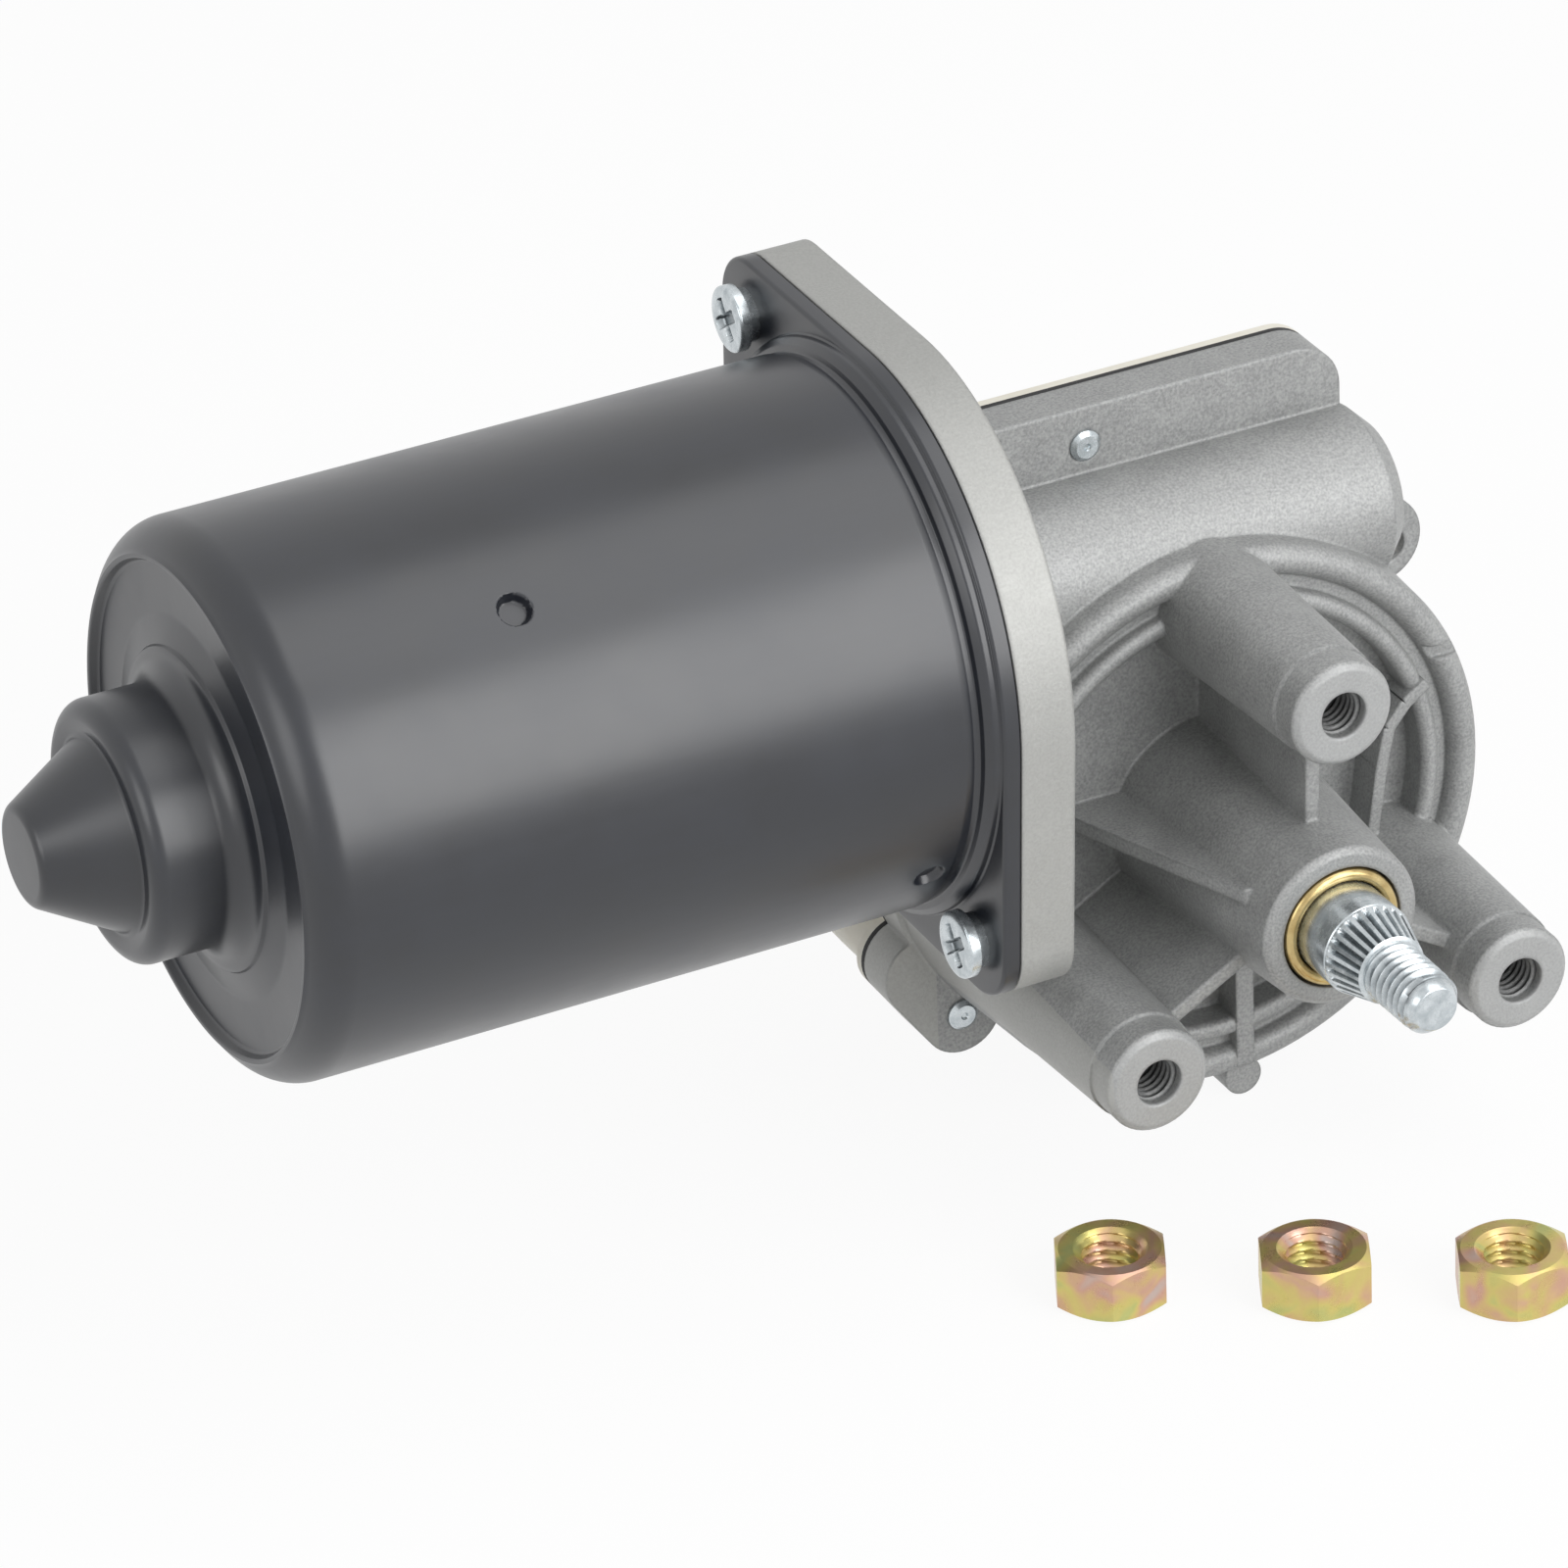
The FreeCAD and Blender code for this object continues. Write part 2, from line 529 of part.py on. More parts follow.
bars.Axis = (coil_bar, ["N_Axis"])
bars.setExpression("Occurrences", bound("slotCount"))
coils.Tip = bars
doc.recompute()
turned(coils, "coil_front", [
    ("shaftRadius + 3", "coreEndX"), ("coreRadius - 2.3", "coreEndX"), ("coreRadius - 1.7", "coreEndX + 2.6"),
    ("coreRadius - 5.9", "coreEndX + coilFront"), ("shaftRadius + 5", "coreEndX + coilFront"),
    ("shaftRadius + 3", "coreEndX + coilFront - 1.6")])
node(coils, "windings")
COPPER_INNER = "commutatorRadius - 3.5"
simple_ring("commutator_body", motor_body, "shaftRadius", COPPER_INNER, "commutatorStartX - 1",
            "commutatorStartX + commutatorLength + 0.6")
bars_body = motor_body("commutator_bars")
turned(bars_body, "bars_turn", [
    (COPPER_INNER, "commutatorStartX"), ("commutatorRadius + 1.5", "commutatorStartX"),
    ("commutatorRadius + 1.5", "commutatorStartX + 1.6"), ("commutatorRadius", "commutatorStartX + 1.6"),
    ("commutatorRadius", "commutatorStartX + commutatorLength"),
    (COPPER_INNER, "commutatorStartX + commutatorLength")])
cut_round(bars_body, "bar_gap", [
    ("commutatorRadius - 1.9", "-0.3"), ("commutatorRadius + 2", "-0.3"), ("commutatorRadius + 2", "0.3"),
    ("commutatorRadius - 1.9", "0.3")], "slotCount")
node(bars_body, "commutator_bars")
ball = doc.addObject("Part::Sphere", "thrust_ball_core")
ball.setExpression("Radius", bound("ballRadius"))
place(ball, ("tubeEnd - 3.4", "wormY", "wormZ"))
node(ball, "thrust_ball")

# Brush gear on a laminated plate in the mouth of the can
plate = motor_body("brush_plate")
turned(plate, "brush_plate_turn", ring_corners("commutatorRadius + 3.1", "canInner", "brushPlateX",
                                               "brushBase"))
cut_round(plate, "brush_plate_slot", [
    ("canInner - 4.8", "-7"), ("canInner + 1", "-7"), ("canInner + 1", "7"), ("canInner - 4.8", "7")], "2")
node(plate, "brush_plate")
BOX_FRONT = "brushBase + brushHeight + 1.4"
for number, heading in enumerate((45, 135, 270), start=1):
    turn = FreeCAD.Placement(FreeCAD.Vector(), FreeCAD.Rotation(heading, 0, 0))
    holder = motor_body("brush_box_%d" % number)
    side = "brushWidth / 2"
    for name, kind, corners, low, high in (
            ("shell", "Pad", ("commutatorRadius + 1.9", "canInner - 4.8", side + " + 0.7"), "brushBase",
             BOX_FRONT),
            ("hollow", "Pocket", ("commutatorRadius", "canInner - 5.5", side), "brushBase + 0.7",
             BOX_FRONT + " - 0.7")):
        near, far, half = corners
        outline = sketch_on(holder, "box_%s_%d" % (name, number), "XY_Plane", low if kind == "Pad" else high)
        draw(outline, [(near, "-(%s)" % half), (far, "-(%s)" % half), (far, half), (near, half)])
        doc.recompute()
        feature = holder.newObject("PartDesign::" + kind, "box_%s_feature_%d" % (name, number))
        feature.Profile = outline
        feature.setExpression("Length", bound("(%s) - (%s)" % (high, low)))
        doc.recompute()
    holder.Placement = holder.Placement.multiply(turn)
    node(holder, "brush_box_%d" % number)
    carbon = motor_body("brush_%d" % number)
    outline = sketch_on(carbon, "carbon_outline_%d" % number, "XY_Plane", "brushBase + 0.7")
    draw(outline, [("commutatorRadius + sideGap", "-(%s)" % side), ("canInner - 9.8", "-(%s)" % side),
                   ("canInner - 9.8", side), ("commutatorRadius + sideGap", side)])
    pad = carbon.newObject("PartDesign::Pad", "carbon_pad_%d" % number)
    pad.Profile = outline
    pad.setExpression("Length", bound("brushHeight"))
    doc.recompute()
    carbon.Placement = carbon.Placement.multiply(turn)
    node(carbon, "brush_%d" % number)
    spring = motor_body("brush_spring_%d" % number)
    outline = sketch_on(spring, "spring_outline_%d" % number, "XY_Plane", "brushBase + 2")
    draw(outline, [("canInner - 9.8", "-2"), ("canInner - 9.3", "-2"), ("canInner - 7.65", "1"),
                   ("canInner - 6", "-2"),
                   ("canInner - 5.5", "-2"), ("canInner - 5.5", "-1.4"), ("canInner - 7.3", "2"),
                   ("canInner - 8", "2"),
                   ("canInner - 9.4", "-0.6"), ("canInner - 9.8", "-0.6")])
    pad = spring.newObject("PartDesign::Pad", "spring_pad_%d" % number)
    pad.Profile = outline
    pad.Length = 4
    doc.recompute()
    spring.Placement = spring.Placement.multiply(turn)
    node(spring, "brush_spring_%d" % number)
for number, side in enumerate(("-", "+"), start=1):
    centre = ("wormY %s (canInner - 11.8)" % side, "wormZ")
    node(rod("choke_%d" % number, "X", "2.6", "brushBase", "brushBase + 9", centre),
         "suppression_choke_%d" % number)
capacitor = block("capacitor_case", ("brushBase", "brushBase + 4"), ("wormY - 5", "wormY + 5"),
                  ("wormZ + canInner - 13.8", "wormZ + canInner - 6.8"))
node(capacitor, "suppression_capacitor")

# Gearbox housing, cast with its hub, bosses, ribs, worm tube and flanges
cast = [
    taper("pot_wall", "Y", "potRadius", "potBackRadius", "potFront + 2", "coverFace", SHAFT_AXIS),
    torus("pot_rim", "potRadius - 2", "2", "potFront + 2"),
    torus("pot_ring", "panelRadius + 1.2", "1.3", "potFront + 1.4"),
    rod("pot_ring_base", "Y", "panelRadius + 2.5", "potFront + 1.4", "potFront + 3", SHAFT_AXIS),
]
pot = without("pot_blank", joined("pot_solid", cast), rod("panel", "Y", "panelRadius", "potFront - 2",
                                                          "panelDepth", SHAFT_AXIS))
cast = [
    pot,
    taper("hub_edge", "Y", "hubRadius - 0.7", "hubRadius", "0", "0.7", SHAFT_AXIS),
    taper("hub_body", "Y", "hubRadius", "hubRootRadius", "0.7", "panelDepth + 1", SHAFT_AXIS),
]
for i, centre in enumerate(BOSSES):
    cast += [
        taper("boss_edge_%d" % i, "Y", "bossFaceRadius", "bossRadius", "0", "bossRadius - bossFaceRadius",
              centre),
        rod("boss_end_%d" % i, "Y", "bossRadius", "bossRadius - bossFaceRadius", "bossTurned", centre),
        taper("boss_body_%d" % i, "Y", "bossDraftRadius", "bossRootRadius", "bossTurned",
              "coverFlangeFront", centre),
    ]
cast = [joined("pot_and_bosses", cast)]


def rib(name, first, second, thick, front, back):
    """Upright wall between two (X, Z) points with parallel sides."""
    (x0, z0), (x1, z1) = [(value(x), value(z)) for x, z in (first, second)]
    length = math.hypot(x1 - x0, z1 - z0)
    side_x, side_z = -(z1 - z0) / length / 2, (x1 - x0) / length / 2
    corners = []
    for (x, z), sign in ((first, 1), (second, 1), (second, -1), (first, -1)):
        corners.append(("%s + (%.4f) * (%s)" % (x, sign * side_x, thick),
                        "%s + (%.4f) * (%s)" % (z, sign * side_z, thick)))
    return prism(name, corners, front, back)


def panel_spot(share, angle):
    """Point on the ribbed panels at a share of their radius and a direction in degrees."""
    return around("%s * panelRadius" % share, angle)


for i in range(len(BOSSES)):
    near, far = [("%s * %s" % (share, BOSSES[i][0]), "%s * %s" % (share, BOSSES[i][1]))
                 for share in (0.32, 0.8)]
    cast.append(rib("boss_rib_%d" % i, near, far, "ribThick", "ribFront", "panelDepth + 0.5"))
bent_rib = [panel_spot(*spot) for spot in ((1.089, 21.9), (0.964, 20.3), (0.852, 16.0), (0.781, 3.9),
                                           (0.786, -21.2))]
arch_rib = [panel_spot(*spot) for spot in ((1.01, -109.5), (0.81, -101.7), (0.733, -92.0), (0.734, -81.6))]
for title, chain in (("bent_rib", bent_rib), ("arch_rib", arch_rib)):
    for i, (first, second) in enumerate(zip(chain, chain[1:])):
        cast.append(rib("%s_%d" % (title, i), first, second, "ribThick - 0.2", "potFront - 0.4",
                        "panelDepth + 0.5"))
cast.append(rib("short_rib", panel_spot(0.788, -22.9), panel_spot(1.074, -16.2), "ribThick - 0.4",
                "potFront - 0.4",
                "panelDepth + 0.5"))
cast.append(rib("lower_rib", ("2.7", "-hubRadius"), ("2.7", "1.2 - potRadius"), "ribThick + 0.6",
                "potFront", "panelDepth + 0.5"))
cast.append(rod("rim_knob", "Y", "2.5", "potFront + 0.6", "potFront + 9", ("2.6", "standZ + 2.5")))

# Sloping gusset from the hub to the ring on the motor side, cut as a thin triangle
gusset = doc.addObject("Sketcher::SketchObject", "gusset_outline")
draw(gusset, [("-8.5", "5.2"), ("-10.2", "5.2"), ("-20.6", "panelDepth + 0.5"), ("-8.5", "panelDepth + 0.5")])
place(gusset, ("0", "0", "4.6 + ribThick / 2"), FreeCAD.Rotation())
gusset_rib = doc.addObject("Part::Extrusion", "gusset")
gusset_rib.Base = gusset
gusset_rib.DirMode = "Normal"
gusset_rib.Solid = True
gusset_rib.Reversed = True
gusset_rib.setExpression("LengthFwd", bound("ribThick + 0.2"))
cast.append(gusset_rib)

# Worm tube, cast flange and cover flange
cast = [
    joined("ribbed_pot", cast),
    rod("tube_body", "X", "tubeRadius", "jointX + 1", "tubeEnd - 2.6", WORM_AXIS),
    taper("tube_nose", "X", "tubeRadius", "tubeRadius - 2.6", "tubeEnd - 2.6", "tubeEnd", WORM_AXIS),
    shaped("cast_flange", flange_plate("jointX", "castFlange")),
]


def strap(name, first, second, radius, start, end):
    """Flat web along the outer tangents of two equal circles."""
    (x0, z0), (x1, z1) = [(value(x), value(z)) for x, z in (first, second)]
    length = math.hypot(x1 - x0, z1 - z0)
    side_x, side_z = -(z1 - z0) / length, (x1 - x0) / length
    corners = []
    for (x, z), sign in ((first, 1), (second, 1), (second, -1), (first, -1)):
        corners.append(("%s + (%.4f) * (%s)" % (x, sign * side_x, radius),
                        "%s + (%.4f) * (%s)" % (z, sign * side_z, radius)))
    return prism(name, corners, start, end)


def cover_outline(name, start, end, inset="0", top="ridgeTop"):
    """Outline shared by the housing flange, the gasket and the cover, kept off the motor flange."""
    shrink = "(%s)" % inset
    lug = "coverLug - " + shrink
    left = "flangeBackX + " + shrink
    pieces = [
        rod(name + "_disc", "Y", "potBackRadius + 0.3 - " + shrink, start, end, SHAFT_AXIS),
        block(name + "_top", (left, "ridgeEnd - ridgeCorner"), (start, end), ("0", top + " - " + shrink)),
        block(name + "_side", (left, "ridgeEnd - " + shrink), (start, end), ("0", top + " - ridgeCorner")),
        rod(name + "_corner", "Y", "ridgeCorner - " + shrink, start, end,
            ("ridgeEnd - ridgeCorner", top + " - ridgeCorner")),
        strap(name + "_web", LOBE, COVER_LUGS[1], lug, start, end),
    ]
    for i, centre in enumerate((LOBE, *COVER_LUGS[1:])):
        pieces.append(rod("%s_lug_%d" % (name, i), "Y", lug, start, end, centre))
    clear = block(name + "_motor_side", ("flangeBackX - 12", left), (start + " - 1", end + " + 1"),
                  ("wormZ - flangeRadius - 0.3", "ridgeTop + 1"))
    return without(name + "_outline", joined(name + "_pieces", pieces), clear)


cast.append(rod("ear", "Y", "earRadius", "coverFlangeFront", "coverFlangeFront + earThick", EAR))
cast.append(cover_outline("housing_flange", "coverFlangeFront", "coverFace"))
holes = [
    block("cover_plane", ("flangeBackX", "tubeEnd + 12"), ("coverFace", "coverFace + 12"), ("-60", "80")),
    rod("gear_cavity", "Y", "cavityRadius", "bearingBossFace", "coverFace + 1", SHAFT_AXIS),
    without("cavity_floor", rod("floor_space", "Y", "cavityRadius", "cavityFront", "bearingBossFace + 0.1",
                                SHAFT_AXIS),
            rod("floor_boss", "Y", "outputRadius + 6", "cavityFront - 1", "bearingBossFace + 1", SHAFT_AXIS)),
    rod("shaft_bore", "Y", "bushRadius", "-1", "bearingBossFace + 1", SHAFT_AXIS),
    rod("worm_bore", "X", "tubeBore", "jointX - 1", "tubeEnd - 2.2", WORM_AXIS),
    rod("adjuster_bore", "X", "3", "tubeEnd - 4", "tubeEnd + 1", WORM_AXIS),
    rod("brush_chamber", "X", "canInner - 2.5", "jointX - 1", "commutatorStartX + commutatorLength + 1",
        WORM_AXIS),
    rod("ear_hole", "Y", "earHole", "coverFlangeFront - 1", "coverFlangeFront + earThick + 1", EAR_HOLE),
    block("rim_groove", ("panelRadius - 0.4", "potRadius + 2"), ("potFront - 1", "potFront + 1"),
          ("14", "15.9")),
]
for i, centre in enumerate(BOSSES):
    holes.append(rod("boss_bore_%d" % i, "Y", "bossBore", "-1", "bossBoreDepth", centre))
    holes.append(taper("boss_drill_tip_%d" % i, "Y", "bossBore", "0.2", "bossBoreDepth",
                       "bossBoreDepth + 1.7", centre))
for i, centre in enumerate(LUGS):
    holes.append(rod("flange_hole_%d" % i, "X", "flangeScrewRadius", "jointX - 1", "flangeBackX + 1", centre))
for i, centre in enumerate(COVER_LUGS):
    holes.append(rod("cover_hole_%d" % i, "Y", "coverScrewRadius", "coverFlangeFront - 1", "coverFace + 1",
                     centre))
node(without("housing_cut", joined("housing_cast", cast), joined("housing_holes", holes)), "gearbox_housing")

# Armature bearings in the housing and the end-play adjuster
simple_ring("front_bearing", motor_body, "boreRadius", "tubeBore", "flangeBackX - 2.2", "flangeBackX + 6.2")
simple_ring("worm_end_bush", motor_body, "boreRadius", "tubeBore", "tubeEnd - 10.2", "tubeEnd - 4")
adjuster = motor_body("end_play_adjuster")
turned(adjuster, "adjuster_turn", [
    ("0", "tubeEnd - 3.4 + ballRadius + sideGap"), ("3", "tubeEnd - 3.4 + ballRadius + sideGap"),
    ("3", "tubeEnd + 0.4"),
    ("0.8", "tubeEnd + 0.4"), ("0.8", "tubeEnd - 0.2"), ("0", "tubeEnd - 0.2")])
node(adjuster, "end_play_adjuster")

# Output side: shaft, worm wheel, parking disc, bushes, seal and washer
output = gear_body("output_shaft")
turned(output, "output_turn", [
    ("0", "-outputReach"), ("nutBore - 0.7", "-outputReach"), ("nutBore", "0.7 - outputReach"),
    ("nutBore", "-knurlReach - 0.8"), ("nutBore - 0.5", "-knurlReach - 0.4"), ("nutBore - 0.5", "-knurlReach"),
    ("outputRadius - 0.9", "-knurlReach"), ("outputRadius - 0.2", "-2.9"), ("outputRadius", "-2.4"),
    ("outputRadius", "wheelBack"), ("outputRadius - 0.8", "wheelBack"), ("outputRadius - 0.8", "wheelBack + 1"),
    ("outputRadius", "wheelBack + 1"), ("outputRadius", "wheelBack + 2.2"), ("0", "wheelBack + 2.2")])
node(output, "output_shaft")


def worm_wheel():
    """Helical worm wheel: ruled loft of one toothed outline turned across the face width."""
    teeth = int(value("wheelTeeth"))
    module, mean = value("toothModule"), value("wheelPitchRadius")
    twist = math.tan(math.asin(value("wormPitch") / math.hypot(value("wormPitch"),
                                                               2 * math.pi * value("wormPitchRadius"))))
    levels = [(mean - 1.2 * module, 0.37), (mean, 0.25), (mean + 0.98 * module, 0.09)]
    thin = value("backlash") / 2 / (math.pi * module)
    sections = []
    for side in (-1, 1):
        along = side * value("wheelWidth") / 2
        lean = along * twist / mean
        points = []
        for tooth in range(teeth):
            middle = 2 * math.pi * tooth / teeth + lean
            for radius, share in [(r, -s) for r, s in levels] + [(r, s) for r, s in levels[::-1]]:
                width = share - math.copysign(thin, share)
                angle = middle + width * 2 * math.pi / teeth
                points.append(FreeCAD.Vector(radius * math.sin(angle), value("wormY") + along,
                                             radius * math.cos(angle)))
        sections.append(Part.makePolygon(points + points[:1]))
    return Part.makeLoft(sections, True, True)


wheel = shaped("wheel_blank", worm_wheel())
recess = [
    without("wheel_recess_%d" % i, rod("recess_outer_%d" % i, "Y", "wheelPitchRadius - 4.5", low, high,
                                       SHAFT_AXIS),
            rod("recess_inner_%d" % i, "Y", "outputRadius + 4", low, high, SHAFT_AXIS))
    for i, (low, high) in enumerate((("wheelFront - 1", "wheelFront + 2.4"),
                                     ("wheelBack - 2.4", "wheelBack + 1")))]
wheel_bore = rod("wheel_bore", "Y", "outputRadius", "wheelFront - 1", "wheelBack + 1", SHAFT_AXIS)
node(without("wheel_cut", wheel, joined("wheel_spaces", recess + [wheel_bore])), "worm_wheel")
disc = gear_body("parking_disc")
turned(disc, "disc_turn", ring_corners("outputRadius + 3.4", "wheelPitchRadius - 4", "wheelBack", "discBack"))
cut_round(disc, "disc_gap", [
    ("wheelPitchRadius - 10", "-9"), ("wheelPitchRadius - 2", "-13.5"), ("wheelPitchRadius - 2", "13.5"),
    ("wheelPitchRadius - 10", "9")], "1")
node(disc, "parking_disc")
simple_ring("retaining_ring", gear_body, "outputRadius - 0.8", "outputRadius + 2.8", "wheelBack",
            "wheelBack + 1")
simple_ring("front_bush", gear_body, "outputRadius + runningFit", "bushRadius", "0.3", "bushLength")
simple_ring("inner_bush", gear_body, "outputRadius + runningFit", "bushRadius", "bearingBossFace - bushLength",
            "bearingBossFace")
simple_ring("shaft_seal", gear_body, "outputRadius + sideGap", "bushRadius", "bushLength", "bushLength + 3")
simple_ring("thrust_washer", gear_body, "outputRadius + sideGap", "outputRadius + 5", "bearingBossFace",
            "bearingBossFace + thrustThick")

# Gasket, back cover, screws and the socket
gasket_open = [
    rod("gasket_hole", "Y", "cavityRadius", "coverFace - 1", "gasketBack + 1", SHAFT_AXIS),
]
gasket_open += [rod("gasket_screw_%d" % i, "Y", "coverScrewRadius", "coverFace - 1", "gasketBack + 1", c)
                for i, c in enumerate(COVER_LUGS)]
gasket_sheet = cover_outline("gasket", "coverFace", "gasketBack")
node(without("gasket_cut", gasket_sheet, joined("gasket_open", gasket_open)), "cover_gasket")
cover_rim = cover_outline("cover_rim", "gasketBack", "gasketBack + coverSheet")
dome = cover_outline("cover_dome", "gasketBack", "gasketBack + coverDepth", "1.4", "domeTop")
hollow = cover_outline("cover_hollow", "gasketBack - 1", "gasketBack + coverDepth - coverSheet",
                       "1.4 + coverSheet",
                       "domeTop")
sinks = []
pads = []
cups = []
for i, centre in enumerate(COVER_LUGS):
    sinks.append(rod("cover_sink_%d" % i, "Y", "screwSink", "gasketBack + coverSheet",
                     "gasketBack + coverDepth + 1", centre))
    pads.append(rod("cover_pad_%d" % i, "Y", "coverLug - 0.9", "gasketBack", "gasketBack + coverSheet", centre))
    cups.append(rod("cup_outer_%d" % i, "Y", "screwSink + coverSheet", "gasketBack",
                    "gasketBack + coverDepth", centre))
inside = cover_outline("cover_limit", "gasketBack", "gasketBack + coverDepth", "1.4", "domeTop")
cup_walls = doc.addObject("Part::MultiCommon", "cup_walls")
cup_walls.Shapes = [joined("cup_blanks", cups), inside]
shell = without("cover_shell", joined("cover_solid", [cover_rim, dome]), hollow)
shell = joined("cover_with_cups", [shell, cup_walls] + pads)
cover_holes = [rod("cover_screw_hole_%d" % i, "Y", "coverScrewRadius", "gasketBack - 1",
                   "gasketBack + coverSheet + 1", c)
               for i, c in enumerate(COVER_LUGS)]
socket_window = block("socket_window", ("-socketHalf", "socketHalf"),
                      ("gasketBack + coverDepth - 3", "gasketBack + coverDepth + 1"),
                      ("socketLow", "socketHigh"))
node(without("cover_cut", shell, joined("cover_open", sinks + cover_holes + [socket_window])), "back_cover")


def pan_screw(radius, shank, head_radius, head, along):
    """Plain pan-head screw at the origin with its head on the negative side of the axis."""
    turn = FreeCAD.Vector(*along)
    crown = head * 0.4
    body = Part.makeCylinder(radius, shank, FreeCAD.Vector(), turn)
    cap = Part.makeCylinder(head_radius, head - crown, turn * (crown - head), turn)
    return body.fuse(cap).fuse(Part.makeCone(head_radius - crown, head_radius, crown, turn * -head, turn))


def group(label, template, spots):
    """Several copies of one fastener kept as separate solids in one node."""
    copies = []
    for spot in spots:
        piece = template.copy()
        piece.translate(FreeCAD.Vector(*[value(p) for p in spot]))
        copies.append(piece)
    return node(shaped(label, Part.makeCompound(copies)), label)


along_x, along_front = (1, 0, 0), (0, -1, 0)
reach = value("castFlange + sheetFlange + washerThick")
screw = pan_screw(value("flangeScrewRadius"), reach, value("flangeHead"), value("flangeHeadHeight"), along_x)
washer_hole = Part.makeCylinder(value("flangeScrewRadius"), 3, FreeCAD.Vector(-1, 0, 0),
                                FreeCAD.Vector(*along_x))
washer_plate = Part.makeCylinder(value("washerRadius"), value("washerThick"), FreeCAD.Vector(),
                                 FreeCAD.Vector(*along_x))
group("flange_washers", washer_plate.cut(washer_hole), [("jointX - sheetFlange - washerThick", y, z)
                                                        for y, z in LUGS])
group("flange_screws", screw, [("jointX - sheetFlange - washerThick", y, z) for y, z in LUGS])
reach = value("coverSheet + gasketBack - coverFlangeFront") + 0.7
cover_screw = pan_screw(value("coverScrewRadius"), reach, value("coverHead"), value("coverHeadHeight"),
                        along_front)
group("cover_screws", cover_screw, [(x, "gasketBack + coverSheet", z) for x, z in COVER_LUGS])

# Socket for the wiring loom, seated in the window of the cover, with its blades
PIN_X = ("-8.4", "-4.2", "0", "4.2", "8.4")
PIN_DEPTH = ("gasketBack + coverDepth - 10.5", "gasketBack + coverDepth + socketReach - 4.6")
socket_outer = joined("socket_outer", [
    block("socket_tower", ("-socketHalf", "socketHalf"),
          ("gasketBack + coverDepth - 9", "gasketBack + coverDepth + socketReach"),
          ("socketLow", "socketHigh")),
    block("socket_collar", ("-socketHalf - 1.2", "socketHalf + 1.2"),
          ("gasketBack + coverDepth", "gasketBack + coverDepth + 1.6"),
          ("socketLow - 1.2", "socketHigh + 1.2")),
])
socket_holes = [block("socket_mouth", ("socketWall - socketHalf", "socketHalf - socketWall"),
                      ("gasketBack + coverDepth - 6", "gasketBack + coverDepth + socketReach + 1"),
                      ("socketLow + socketWall", "socketHigh - socketWall"))]
pins = []
for i, x in enumerate(PIN_X):
    spans = (x + " - 1.4", x + " + 1.4"), PIN_DEPTH, ("socketLow + 3.6", "socketLow + 4.4")
    socket_holes.append(block("pin_slot_%d" % i, *spans))
    pins.append(block("pin_%d" % i, *spans))
node(without("socket_cut", socket_outer, joined("socket_holes", socket_holes)), "connector_socket")
pin_group = doc.addObject("Part::Compound", "pin_group")
pin_group.Links = pins
node(pin_group, "connector_pins")

# Parking contacts: three leaf springs on a carrier inside the cover, just clear of the parking disc
CARRIER_FRONT = "gasketBack + 6"
node(block("contact_carrier_block", ("14", "27"), (CARRIER_FRONT, "gasketBack + coverDepth - coverSheet"),
           ("-8", "8")),
     "contact_carrier")
for number, (reach, low) in enumerate((("19", "-6"), ("15", "-1.2"), ("11", "3.6")), start=1):
    outline = doc.addObject("Sketcher::SketchObject", "leaf_outline_%d" % number)
    draw(outline, [("26", CARRIER_FRONT), ("22.5", CARRIER_FRONT), (reach + " + 1", "discBack + sideGap + 0.4"),
                   (reach + " - 1", "discBack + sideGap + 0.9"), (reach + " - 1", "discBack + sideGap + 0.5"),
                   (reach + " + 0.8", "discBack + sideGap"), (reach + " + 1.3", "discBack + sideGap"),
                   ("22.8", CARRIER_FRONT + " - 0.45"), ("26", CARRIER_FRONT + " - 0.45")])
    place(outline, ("0", "0", low))
    leaf = doc.addObject("Part::Extrusion", "leaf_%d" % number)
    leaf.Base = outline
    leaf.DirMode = "Normal"
    leaf.Solid = True
    leaf.LengthFwd = 2.4
    node(leaf, "parking_contact_%d" % number)

# Loose hex nuts that lie in a row in front of the motor
NUT_TURN = 4.2
corner = value("nutWidth") / math.sqrt(3)
angles = [math.radians(60 * k + NUT_TURN) for k in range(7)]
outline = Part.makePolygon([FreeCAD.Vector(corner * math.cos(a), corner * math.sin(a), 0) for a in angles])
height, flat = value("nutHeight"), value("nutWidth") / 2
chamfer = (corner - flat) * 0.6
upper = Part.makeCone(corner, flat, chamfer, FreeCAD.Vector(0, 0, height - chamfer))
lower = Part.makeCylinder(corner, height - chamfer)
thread = Part.makeCylinder(value("nutBore"), height + 2, FreeCAD.Vector(0, 0, -1))
nut = Part.Face(outline).extrude(FreeCAD.Vector(0, 0, height)).common(upper.fuse(lower)).cut(thread)
group("hex_nuts", nut, [("-33.4", "-2.3", "standZ"), ("-12.4", "-14.5", "standZ"), ("7.8", "-26.3", "standZ")])

doc.recompute()
labels = [item.Label for item in nodes]
assert len(set(labels)) == len(labels), "two pieces share a name"
for item in doc.Objects:
    if "Invalid" in item.State or "Error" in item.State:
        raise RuntimeError("%s is %s" % (item.Label, item.State))
for item in nodes:
    shape = item.Shape
    if shape.isNull() or not shape.isValid() or not shape.Solids:
        raise RuntimeError("%s has no valid solid" % item.Label)
    shape.exportStep("parts/%s.step" % item.Label)
    print("%-26s solids %d volume %.1f" % (item.Label, len(shape.Solids), shape.Volume))
print("pieces written:", len(nodes))
